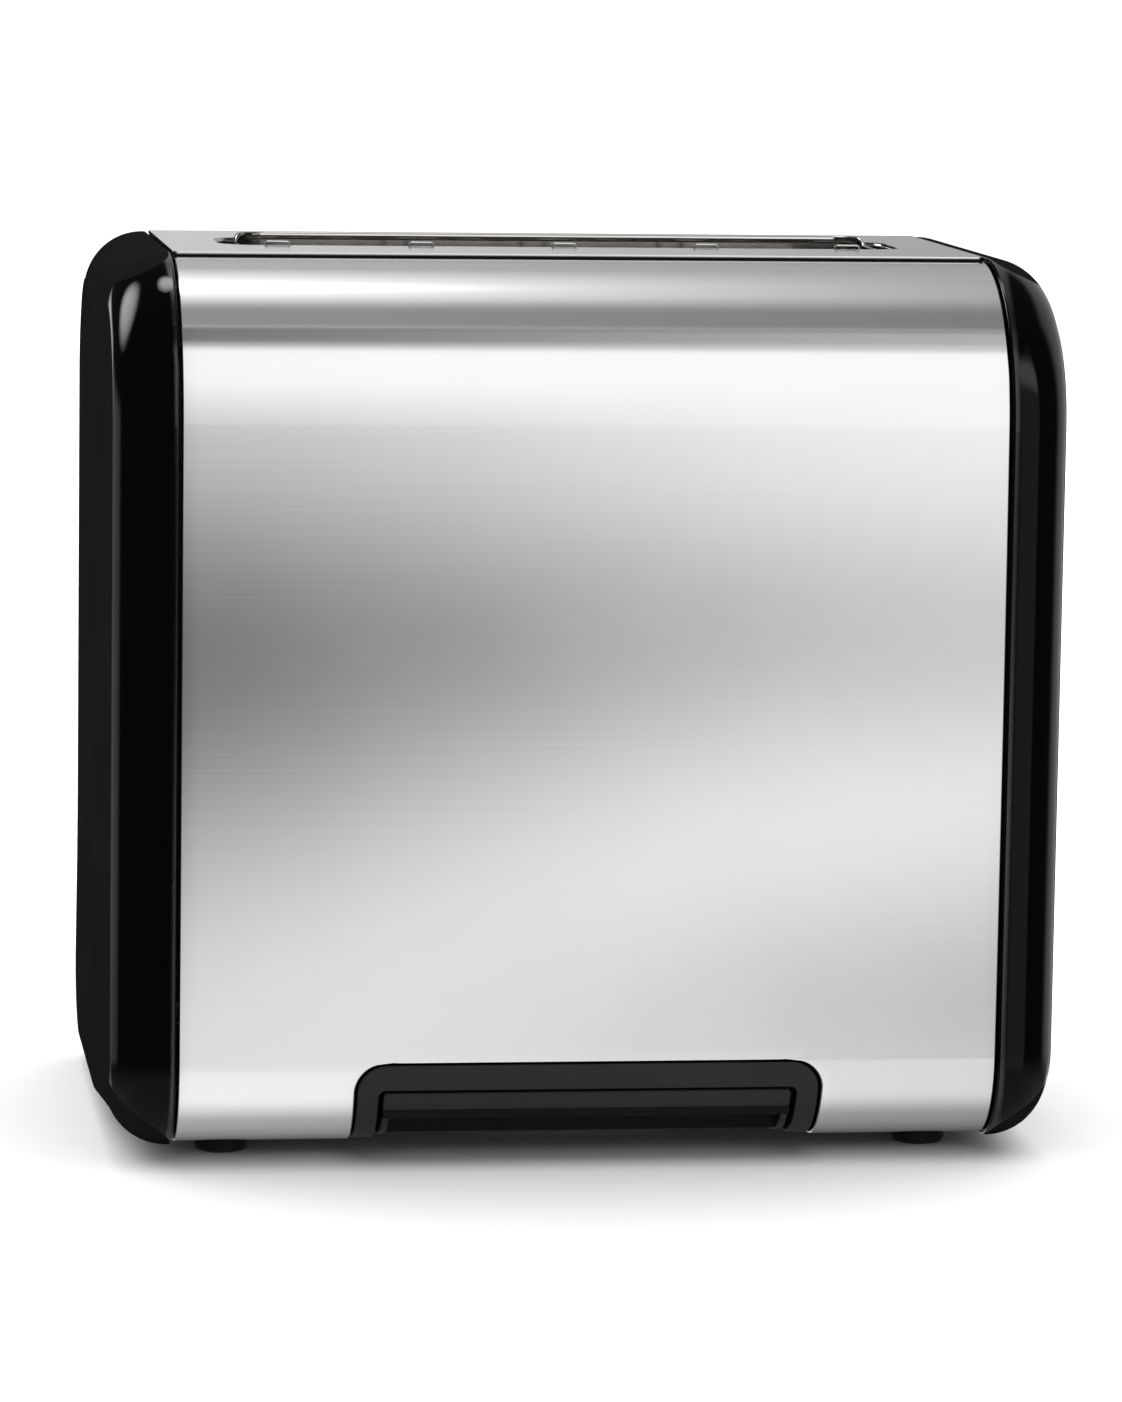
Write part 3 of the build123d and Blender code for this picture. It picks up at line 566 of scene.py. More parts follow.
def upright_tube(path: np.ndarray, y: float, radius: float, sides: int = 10) -> list[Part]:
    """Round wire with closed ends along a path in an upright plane.

    Each ring is a circle square to the path, whose direction is the step from the point before to the
    point after.

    Args:
        path: points as X and Z, of shape (n, 2).
        y: the plane's Y.
        radius: radius of the wire.
        sides: points round the wire.

    Returns:
        Points and faces for make_piece.
    """
    along = np.gradient(path, axis=0)
    along /= np.linalg.norm(along, axis=1, keepdims=True)
    angle = np.linspace(0.0, 2 * math.pi, sides, endpoint=False)
    out = radius * np.cos(angle)
    points = together(path[:, :1] + along[:, 1:] * out, y + radius * np.sin(angle),
                      path[:, 1:] - along[:, :1] * out)
    return [surface(points, wrap_columns=True), closed_end(points[0]), closed_end(points[-1])]


def pierced_face(outline: np.ndarray, holes: list[np.ndarray], x: float) -> Part:
    """Flat face with holes, square to X, in triangles.

    A triangle is left out when its middle is on the inner side of every edge of a hole.

    Args:
        outline: points of the outer edge as Y and Z, of shape (n, 2).
        holes: points of each hole, which is convex and runs against the clock.
        x: the face's X.

    Returns:
        Points and faces for make_piece.
    """
    loops = [outline, *holes]
    starts = np.cumsum([0] + [len(loop) for loop in loops[:-1]])
    edges = [(start + k, start + (k + 1) % len(loop)) for start, loop in zip(starts, loops)
             for k in range(len(loop))]
    flat = [Vector(point) for point in np.concatenate(loops).tolist()]
    points, _, faces, *_ = delaunay_2d_cdt(flat, edges, [], 1, 1e-5)
    points, faces = np.array(points), np.array(faces)
    middle = points[faces].mean(axis=1)
    keep = np.ones(len(faces), bool)
    for hole in holes:
        side = np.roll(hole, -1, axis=0) - hole
        away = middle[:, None, :] - hole[None, :, :]
        turn = side[None, :, 0] * away[:, :, 1] - side[None, :, 1] * away[:, :, 0]
        keep &= ~(turn > 0.0).all(axis=1)
    return together(x, points[:, 0], points[:, 1]), faces[keep]


class Job(Enum):
    """The three push buttons, from the front to the rear."""

    CANCEL = "cancel"
    REHEAT = "reheat"
    DEFROST = "defrost"


@dataclass
class SteelWrap:
    """Front and rear panels of the wrap, each one bent sheet with a hem at the top and the bottom."""

    sheet: float = 0.8
    top_hem: float = 5.0
    bottom_hem: float = 2.0
    notch_half: float = 50.2
    notch_corner: float = 6.6
    edge_round: float = 0.3
    crown_turn: float = 1.03
    seam_merge: float = 0.01

    @property
    def notch_top(self) -> float:
        """Height of the notch's top edge, where the crown of the front ends."""
        drop = BODY.bottom_round * math.sin(math.radians(self.crown_turn))
        return BODY.low + BODY.bottom_round - drop

    def path(self, notch_steps: int = 12) -> tuple[np.ndarray, int]:
        """Side path of the front panel from the top hem to the bottom hem.

        Straight hem, top round, a front that is crowned as a parabola, bottom round, straight hem. The
        rounds stop crown_turn degrees early, so the crown meets them without a kink. The first rows of
        the bottom round lie on the corner of the tray notch, and are spread by a power of its angle.

        Returns:
            Points as Y and Z, of shape (rows, 2), and the number of the row on the notch's top edge.
        """
        front = -BODY.half_depth
        top_centre = (front + BODY.top_round, BODY.top - BODY.top_round)
        low_centre = (front + BODY.bottom_round, BODY.low + BODY.bottom_round)
        hem = together(np.linspace(top_centre[0] + self.top_hem, top_centre[0], 6)[:-1], BODY.top)
        round_top = arc_points(top_centre, BODY.top_round, 90.0, 180.0 - self.crown_turn, 56)
        corner_z = self.notch_top - self.notch_corner
        corner = math.pi / 2 * np.linspace(0.0, 1.0, notch_steps + 1) ** 0.75
        corner = corner_z + self.notch_corner * np.cos(corner)
        turn = np.degrees(np.arcsin((low_centre[1] - corner) / BODY.bottom_round))
        turns = np.concatenate([turn, np.linspace(turn[-1], 90.0, 26)[1:]])
        angle = np.radians(180.0 + turns)
        round_low = together(low_centre[0] + BODY.bottom_round * np.cos(angle),
                             low_centre[1] + BODY.bottom_round * np.sin(angle))
        share = np.linspace(0.0, 1.0, 42)[1:-1]
        start, end = round_top[-1], round_low[0]
        straight = start + (end - start) * share[:, None]
        swell = math.tan(math.radians(self.crown_turn)) * (start[1] - end[1]) / 4
        straight[:, 0] -= swell * (1.0 - (2.0 * share - 1.0) ** 2)
        low_hem = together(np.linspace(low_centre[0], low_centre[0] + self.bottom_hem, 4)[1:], BODY.low)
        notch_row = len(hem) + len(round_top) + len(straight)
        return np.concatenate([hem, round_top, straight, round_low, low_hem]), notch_row

    def notch_reach(self, height: np.ndarray) -> np.ndarray:
        """Half width of the notch at each height: the corner's circle above its centre, then straight."""
        corner_z = self.notch_top - self.notch_corner
        above = np.clip(height - corner_z, 0.0, self.notch_corner)
        return self.notch_half - self.notch_corner + np.sqrt(self.notch_corner**2 - above**2)

    def front(self) -> Object:
        """Front panel: one grid above the notch, and one at each side of it whose columns follow it."""
        path, notch_row = self.path()
        inner = self.notch_half - self.notch_corner
        side = np.linspace(0.0, 1.0, 13)
        left = -BODY.half_length + (BODY.half_length - inner) * side
        middle = np.linspace(-inner, inner, 31)
        columns = np.concatenate([left, middle[1:-1], -left[::-1]])
        parts = [self._patch(columns[None, :], path[: notch_row + 1])]
        lower = path[notch_row:]
        reach = self.notch_reach(lower[:, 1])
        for sign in (-1.0, 1.0):
            across = sign * (BODY.half_length - (BODY.half_length - reach[:, None]) * side[None, :])
            points, faces = self._patch(across, lower)
            parts.append((points, faces if sign < 0 else faces[:, ::-1]))
        return self._sheet("front_steel_panel", parts)

    def rear(self) -> Object:
        """Rear panel: one grid, the front's path mirrored, with no notch."""
        path, _ = self.path()
        columns = np.linspace(BODY.half_length, -BODY.half_length, 41)
        mirrored = path * np.array([-1.0, 1.0])
        return self._sheet("rear_steel_panel", [self._patch(columns[None, :], mirrored)])

    @staticmethod
    def _patch(across: np.ndarray, path: np.ndarray) -> Part:
        """Grid with these X values, in one row or one for each point, on a path of Y and Z."""
        return surface(together(across, path[:, :1], path[:, 1:]))

    def _sheet(self, name: str, parts: list[Part]) -> Object:
        """Turns open grids, whose faces look outwards, into a sheet with rounded edges."""
        flipped = [(points, faces[:, ::-1]) for points, faces in parts]
        piece = make_piece(name, flipped, self.seam_merge, False)
        thicken(piece, self.sheet)
        soften(piece, self.edge_round)
        return piece

    def build(self, steel: Material) -> None:
        """Makes and dresses both panels."""
        finish_piece(self.front(), steel, "housing", "satin_steel", "front_panel")
        finish_piece(self.rear(), steel, "housing", "satin_steel", "rear_panel")


@dataclass
class TopPlate:
    """Flat top plate whose slot edge rolls down into the slot, over a black strip that paints the shade
    in the seam under it.
    """

    half_length: float = 87.75
    half_width: float = 41.5
    top: float = 193.5
    sheet: float = 0.8
    edge_sheet: float = 0.62
    slot_half_length: float = 75.0
    slot_half_width: float = 15.0
    slot_corner: float = 8.0
    flange: float = 2.2
    roll: float = 0.9
    edge_round: float = 0.2
    edge_lap: float = 0.6
    under_lap: float = 0.88
    lip_front: float = 0.2
    lip_back: float = 0.1
    lip_fillet: float = 0.3
    # the black strip that paints the seam's shade: how far it is set in from the plate's edge, and how
    # wide it is
    seam_shade_inset: float = 0.12
    seam_shade_width: float = 1.2

    def build(self, steel: Material, rubber: Material) -> None:
        """Makes and dresses the plate and the black strip of painted shade in the seam under its edge.

        The closed section runs over the top to the slot, down the rolled edge, up behind it and out
        under the plate. It is carried round the slot, and its outer points slide to the plate's edge.
        """
        loop, outward = rounded_loop(self.slot_half_length, self.slot_half_width, self.slot_corner)
        under = self.top - self.sheet
        roll = arc_points((self.roll, self.top - self.roll), self.roll, 90.0, 180.0, 8)
        foot = under - self.flange
        lip = [[0.0, foot + self.lip_front], [self.lip_front, foot],
               [self.sheet - self.lip_back, foot], [self.sheet, foot + self.lip_back],
               [self.sheet, under - self.lip_back], [self.sheet + self.lip_fillet, under]]
        section = np.concatenate([roll, lip])
        ring = profile_along(loop, outward, section[:, 0], section[:, 1])
        edge = self._edge_points()
        radius = self.edge_round
        low = self.top - self.edge_sheet
        drops = np.concatenate([[[self.under_lap, under], [self.edge_lap, low], [0.0, low]],
                                arc_points((radius, self.top - radius), radius, 180.0, 90.0, 4),
                                [[self.edge_lap, self.top]]])
        on_side = np.isclose(np.abs(edge), [self.half_length, self.half_width])
        rim = profile_along(edge, -np.sign(edge) * on_side, drops[:, 0], drops[:, 1])
        grid = np.concatenate([ring, rim], axis=1)
        add_flat("slotted_top_plate", [surface(grid, True, True)], steel, "housing", "satin_steel",
                 "top_plate")
        # painted shade: a black strip in the seam under the plate's edge
        self._seam_shade_strip(rubber)

    def _edge_points(self, arc_steps: int = 16, flat_steps: int = 30) -> np.ndarray:
        """Points on the plate's edge, one for each point of the slot's loop.

        A side's points go straight out. A corner's points run along one edge to the plate's corner, and
        along the next edge from there, closer together near the corner.
        """
        centre = np.array([self.slot_half_length, self.slot_half_width]) - self.slot_corner
        half = np.array([self.half_length, self.half_width])
        share = np.linspace(0.0, 1.0, arc_steps // 2 + 1)[:, None] ** 1.5
        corners = []
        for turn, sign in enumerate(np.array([(1, 1), (-1, 1), (-1, -1), (1, -1)])):
            across, along = sign * (half[0], centre[1]), sign * (centre[0], half[1])
            first, last = (across, along) if turn % 2 == 0 else (along, across)
            tip = sign * half
            corners.append(np.concatenate([tip + (first - tip) * share[::-1],
                                           (tip + (last - tip) * share)[1:]]))
        return join_arcs(corners, flat_steps)

    def _seam_shade_strip(self, rubber: Material) -> None:
        """Black strip in the seam under the plate's edge, painted shade where the gap would fall dark: a
        rectangle carried round the edge.
        """
        loop, outward = rounded_loop(self.half_length - self.seam_shade_inset,
                                     self.half_width - self.seam_shade_inset, 0.3, 4, 8)
        low, high = BODY.top, self.top - self.edge_sheet
        offsets = np.array([0.0, 0.0, -self.seam_shade_width, -self.seam_shade_width])
        grid = profile_along(loop, outward, offsets, np.array([low, high, high, low]))
        # painted shade: a black strip with the foot rubber finish, put where the seam has only shade
        add_flat("top_plate_seam_shade_strip", [surface(grid, True, True)], rubber, "housing", "rubber")


@dataclass
class SlotLiner:
    """Formed steel ring in the slot: its rear wall stands up and ends in a rolled bead."""

    half_length: float = 71.0
    half_width: float = 14.6
    corner: float = 7.0
    wall: float = 0.6
    low: float = 176.5
    front_top: float = 193.0
    bead_top: float = 194.8
    bead_radius: float = 0.7
    bead_turn: tuple[float, float] = (-60.0, 240.0)
    bead_neck: float = 2.4
    bead_growth: float = 0.6
    knee: float = 188.5
    lean: float = 0.1
    tab_end: float = 78.7
    tab_half: float = 6.0

    def build(self, steel: Material) -> None:
        """Makes and dresses the liner.

        The wall's section is carried round the slot. Its top grows from a plain rounded edge at the
        front to the bead at the rear, by a smooth step over the ring's ends, and the wall leans so too.
        """
        loop, outward = rounded_loop(self.half_length, self.half_width, self.corner, 20, 40)
        past = loop[:, 1] - (self.half_width - self.corner)
        share = smooth(np.clip(past / (self.bead_growth * self.corner), 0.0, 1.0))[:, None]
        half = self.wall / 2
        radius = half + (self.bead_radius - half) * share
        crown = self.front_top + (self.bead_top - self.front_top) * share
        angle = np.radians(np.linspace(*self.bead_turn, 17))[None, :]
        bead_offset = -half + radius * np.cos(angle)
        bead_height = crown - radius + radius * np.sin(angle)
        neck = crown - self.bead_neck * radius
        top = np.zeros_like(share)
        foot = -self.lean * share
        low, knee = np.full_like(share, self.low), np.full_like(share, self.knee)
        offsets = np.concatenate([foot, foot, top, bead_offset, top - self.wall, foot - self.wall,
                                  foot - self.wall], axis=1)
        heights = np.concatenate([low, knee, neck, bead_height, neck, knee, low], axis=1)
        grid = profile_along(loop, outward, offsets, heights)
        parts = [surface(grid, True, True)]
        for side in (-1.0, 1.0):
            ends = sorted((side * (self.half_length - half), side * self.tab_end))
            parts.append(block(ends, (-self.tab_half, self.tab_half), (self.low, self.low + self.wall)))
        add_flat("formed_slot_liner", parts, steel, "housing", "liner_steel", "slot_liner")


@dataclass
class EndCaps:
    """Two gloss black end caps: a large end round, a crisp edge and a flat satin end face."""

    start: float = 88.25
    end: float = 102.0
    grow: float = 0.8
    wall: float = 2.5
    seam_round: float = 0.5
    straight: float = 0.8
    end_turn: float = 79.0
    crease_round: float = 0.35
    face_ring: float = 0.6
    low_share: float = 0.3
    low_top: float = 60.0
    low_drop: float = 50.0
    low_front: float = -66.0
    low_depth: float = 62.0
    slot_half: float = 2.4
    slot_low: float = 61.1
    slot_top: float = 146.9
    slot_corner: float = 1.2
    button_hole: float = 4.8
    button_height: float = 167.0
    button_pitch: float = 14.0
    shaft_hole: float = 3.5
    hole_round: float = 0.25
    dial_height: float = 36.0

    def section(self) -> np.ndarray:
        """Cap section as distance along X and inset from the outer outline.

        It starts inside the wall at the seam, turns round the seam edge, runs straight, follows the end
        round to end_turn degrees, turns round the crease and ends with a narrow ring of the end face.
        """
        radius = self.end - self.start - self.straight
        seam = arc_points((self.start + self.seam_round, self.seam_round), self.seam_round,
                          180.0, 270.0, 6)
        turn = np.radians(np.linspace(0.0, self.end_turn, 34))
        body = self._end_round(radius, 0.0, turn)
        slope = np.linspace(math.radians(self.end_turn), math.pi / 2, 5)
        centre = (self.end - self.crease_round, body[-1][1] + self.crease_round)
        crease = together(centre[0] + self.crease_round * np.sin(slope),
                          centre[1] - self.crease_round * np.cos(slope))
        flat = [[self.end, crease[-1][1] + self.face_ring]]
        return np.concatenate([[[self.start, self.wall]], seam, body, crease[1:], flat])

    def _end_round(self, radius: float, inset: float, turn: np.ndarray) -> np.ndarray:
        """Points on the end round, or on the hollow's, which starts from a deeper inset."""
        return together(self.start + self.straight + radius * np.sin(turn),
                        inset + radius * (1.0 - np.cos(turn)))

    def holes(self) -> list[np.ndarray]:
        """Outlines, as Y and Z, of the openings for the lever, the buttons and the dial's shaft."""
        middle = (self.slot_low + self.slot_top) / 2
        loop, _ = rounded_loop(self.slot_half, self.slot_top - middle, self.slot_corner, 6, 20)
        holes = [loop + np.array([0.0, middle])]
        turn = np.linspace(0.0, 2 * math.pi, 40, endpoint=False)
        circle = together(np.cos(turn), np.sin(turn))
        for y in (-self.button_pitch, 0.0, self.button_pitch):
            holes.append(circle * self.button_hole + np.array([y, self.button_height]))
        holes.append(circle * self.shaft_hole + np.array([0.0, self.dial_height]))
        return holes

    def shell(self, side: float, name: str, holes: list[np.ndarray]) -> Object:
        """One cap as a closed shell: the outer section, the hollow, and both faces with their holes."""
        section = self.section()
        depth = self.end - self.wall
        radius = depth - self.start - self.straight
        turn = np.radians(np.linspace(0.0, 90.0, 16))
        hollow = np.concatenate([[[self.start, self.wall]], self._end_round(radius, self.wall, turn)])
        parts = []
        for line in (section, hollow):
            rings = BODY.loop(line[:, 1] - self.grow)
            if line is section:
                rings = self._fuller(rings, line[:, 0] > self.start + self.seam_round)
            grid = together(side * line[:, :1], rings[:, :, 0], rings[:, :, 1])
            parts.append(surface(grid, wrap_columns=True))
            parts.append(pierced_face(rings[-1], holes, side * line[-1, 0]))
        ends = side * np.array([[depth], [self.end]])
        for hole in holes:
            parts.append(surface(together(ends, hole[:, 0], hole[:, 1]), wrap_columns=True))
        piece = make_piece(name, parts)
        soften(piece, self.hole_round, 2, 50.0)
        return piece

    def _fuller(self, rings: np.ndarray, rounded: np.ndarray) -> np.ndarray:
        """Draws the end round in along the bottom edge, where the end face comes down lower.

        The distance from the outermost outline shrinks to low_share of itself, by a smooth step in
        height times one in Y that starts at the front.

        Args:
            rings: outlines of the section's points, of shape (rows, columns, 2).
            rounded: which rows belong to the end round.

        Returns:
            The outlines, changed in those rows.
        """
        outer = BODY.loop([-self.grow])[0]
        y, z = outer[:, 0], outer[:, 1]
        below = smooth(np.clip((self.low_top - z) / self.low_drop, 0.0, 1.0))
        back = smooth(np.clip((y - self.low_front) / self.low_depth, 0.0, 1.0))
        share = 1.0 - (1.0 - self.low_share) * below * back
        share = np.where(rounded[:, None], share[None, :], 1.0)
        return outer + (rings - outer) * share[:, :, None]

    def build(self, black: Material) -> None:
        """Makes and dresses both caps."""
        left = self.shell(-1.0, "left_gloss_cap", [])
        finish_piece(left, black, "housing", "gloss_black", "left_end_cap")
        right = self.shell(1.0, "right_gloss_cap", self.holes())
        finish_piece(right, black, "housing", "gloss_black", "right_end_cap")


@dataclass(frozen=True)
class Arch:
    """Sizes of an upside-down U on the bottom round of the body: half width, top and corner."""

    half: float
    top: float
    corner: float

    def path(self, steps: int = 10, leg_steps: int = 14, bar_steps: int = 24) -> np.ndarray:
        """Points as X and the turn on the bottom round, from the left leg's end to the right one's.

        A leg runs up in equal turns, the corner is a quarter circle in height, and the bar is level.
        """
        centre_z = BODY.low + BODY.bottom_round
        low = self.top - self.corner
        leg = np.linspace(math.pi / 2, self.turn(low), leg_steps + 1)[:-1]
        angle = np.linspace(0.0, math.pi / 2, steps + 1)
        corner_x = self.half - self.corner + self.corner * np.cos(angle)
        corner_turn = np.arcsin((centre_z - low - self.corner * np.sin(angle)) / BODY.bottom_round)
        bar = np.linspace(-(self.half - self.corner), self.half - self.corner, bar_steps + 1)[1:-1]
        left = np.concatenate([together(-self.half, leg), together(-corner_x, corner_turn)])
        middle = together(bar, self.turn(self.top))
        right = left[::-1] * np.array([-1.0, 1.0])
        return np.concatenate([left, middle, right])

    @staticmethod
    def turn(height: float) -> float:
        """Turn on the bottom round at a height."""
        return math.asin((BODY.low + BODY.bottom_round - height) / BODY.bottom_round)


def arch_band(outer: Arch, inner: Arch, inset: float, depth: float, round_off: float) -> list[Part]:
    """Band between two arches, lying on the bottom round.

    A point is set by its share of the way from the outer arch to the inner one, and by its depth under
    the body's surface. The section has rounded front edges, and the band's ends are closed.

    Args:
        outer: arch of the outer edge.
        inner: arch of the inner edge.
        inset: distance of the band's front from the body's surface.
        depth: thickness of the band.
        round_off: radius of the front edges.

    Returns:
        Points and faces for make_piece.
    """
    first, last = outer.path(), inner.path()
    width = outer.half - inner.half
    edge = round_off / width
    turn = np.linspace(0.0, math.pi / 2, 5)
    over = together(edge * (1 - np.cos(turn)), round_off * (1 - np.sin(turn)))
    share = np.concatenate([[0.0], over[:, 0], np.linspace(edge, 1 - edge, 6)[1:-1],
                            1 - over[::-1, 0], [1.0]])
    deep = np.concatenate([[depth], over[:, 1], np.zeros(4), over[::-1, 1], [depth]]) + inset
    flat = first[:, None, :] + (last - first)[:, None, :] * share[None, :, None]
    reach = BODY.bottom_round - deep[None, :]
    y = -BODY.half_depth + BODY.bottom_round - reach * np.cos(flat[:, :, 1])
    z = BODY.low + BODY.bottom_round - reach * np.sin(flat[:, :, 1])
    grid = together(flat[:, :, 0], y, z)
    return [surface(grid, wrap_columns=True), closed_end(grid[0]), closed_end(grid[-1])]


@dataclass
class TrayFront:
    """Dark frame round the crumb tray, and the tray's own front with the finger recess under it."""

    frame_outer: Arch = Arch(49.6, 23.1, 6.2)
    frame_inner: Arch = Arch(45.0, 17.3, 1.6)
    frame_inset: float = 0.3
    frame_depth: float = 2.4
    front_outer: Arch = Arch(43.9, 16.3, 1.0)
    front_inner: Arch = Arch(42.3, 10.9, 0.4)
    front_inset: float = 0.9
    front_depth: float = 3.0
    edge: float = 0.3
    back: float = -59.8
    recess_back: float = -61.6
    recess_front: float = -70.5
    roof_thickness: float = 5.0
    back_top: float = 17.0
    back_lift: float = 2.2
    cheek_low: float = 9.0
    cheek_depth: float = 8.0
    recess_round: float = 0.2

    def build(self, frame: Material, front: Material, recess: Material) -> None:
        """Makes and dresses the frame, the front's band and the recess behind it, which is painted darker
        than the tray as shade.
        """
        band = arch_band(self.frame_outer, self.frame_inner, self.frame_inset, self.frame_depth,
                         self.edge)
        add_flat("tray_frame", band, frame, "housing", "bezel_grey", "tray_bezel")
        band = arch_band(self.front_outer, self.front_inner, self.front_inset, self.front_depth,
                         self.edge)
        add_flat("tray_front_band", band, front, "tray", "tray_grey", "tray_front")
        half, low = self.front_outer.half, BODY.low + self.back_lift
        inner, roof = self.front_inner.half, self.front_inner.top
        cheek = ((-BODY.half_depth + self.cheek_depth, self.recess_back), (self.cheek_low, roof))
        parts = [block((-half, half), (self.recess_back, self.back), (low, self.back_top)),
                 block((-half, half), (self.recess_front, self.recess_back),
                       (roof, roof + self.roof_thickness)),
                 block((-half, -inner), *cheek), block((inner, half), *cheek)]
        piece = make_piece("tray_finger_recess", parts, merge=0.0)
        soften(piece, self.recess_round)
        # painted shade: the recess is the tray's plastic, given a much darker finish for the shade in the
        # hollow
        finish_piece(piece, recess, "tray", "tray_grey")


@dataclass
class Feet:
    """Four tapered rubber feet, each with a stem through the base pan and a collar above it."""

    x: float = 76.5
    y: float = 46.0
    edge_round: float = 0.12
    profile: tuple[tuple[float, float], ...] = (
        (0.0, 0.35), (3.9, 0.35), (4.3, 0.2), (4.6, 0.0), (5.1, 0.0), (5.5, 0.2), (5.8, 0.6),
        (5.95, 1.3), (6.0, 2.4), (6.0, 4.0), (5.8, 4.2), (2.5, 4.2), (2.5, 6.3), (3.5, 6.3),
        (3.45, 6.6), (2.2, 7.9), (1.9, 8.1), (0.0, 8.1))

    def build(self, rubber: Material) -> None:
        """Makes and dresses all four: the profile is turned about each foot's upright axis."""
        points, faces = lathe(np.array(self.profile), 40)
        upright = points[:, :, [1, 2, 0]]
        places = [(x, y) for x in (-self.x, self.x) for y in (-self.y, self.y)]
        parts = [(upright + np.array([x, y, 0.0]), faces) for x, y in places]
        piece = make_piece("rubber_feet", parts)
        soften(piece, self.edge_round, 2, 40.0)
        finish_piece(piece, rubber, "housing", "rubber", "feet")


@dataclass
class BreadGuides:
    """Two guides of five bent wires each, welded to two bars, that close in on the bread."""

    wire: float = 0.28
    bar: float = 0.7
    y: float = 12.6
    bar_y: float = 13.7
    pitch: float = 31.5
    width: float = 5.9
    low: float = 38.0
    bend: float = 0.5
    bar_heights: tuple[float, float] = (42.0, 168.0)
    bar_end: float = 81.6
    front_top: float = 194.35
    rear_top: float = 191.0

    def hairpin(self, x: float, y: float, top: float) -> list[Part]:
        """One wire bent into an upside-down U: two straight legs, two quarter bends, a level top."""
        crown = top - self.wire
        half = self.width / 2 - self.wire
        height = np.linspace(self.low, crown - self.bend, 8)
        left = arc_points((-half + self.bend, crown - self.bend), self.bend, 180.0, 90.0, 6)
        path = np.concatenate([together(-half, height), left[1:]])
        mirrored = path[::-1] * np.array([-1.0, 1.0])
        path = np.concatenate([path, mirrored])
        return upright_tube(path + np.array([x, 0.0]), y, self.wire)

    def guide(self, name: str, side: float, top: float, body: str, node: str, wire: Material) -> None:
        """Makes and dresses one guide on one side of the slot."""
        parts = [part for step in range(-2, 3)
                 for part in self.hairpin(step * self.pitch, side * self.y, top)]
        along = np.linspace(-self.bar_end, self.bar_end, 12)
        for z in self.bar_heights:
            parts += upright_tube(together(along, z), side * self.bar_y, self.bar)
        piece = make_piece(name, parts)
        finish_piece(piece, wire, body, "guide_wire", node)

    def build(self, wire: Material) -> None:
        """Makes both guides."""
        self.guide("front_wire_guide", -1.0, self.front_top, "front_guide", "front_bread_guide", wire)
        self.guide("rear_wire_guide", 1.0, self.rear_top, "rear_guide", "rear_bread_guide", wire)


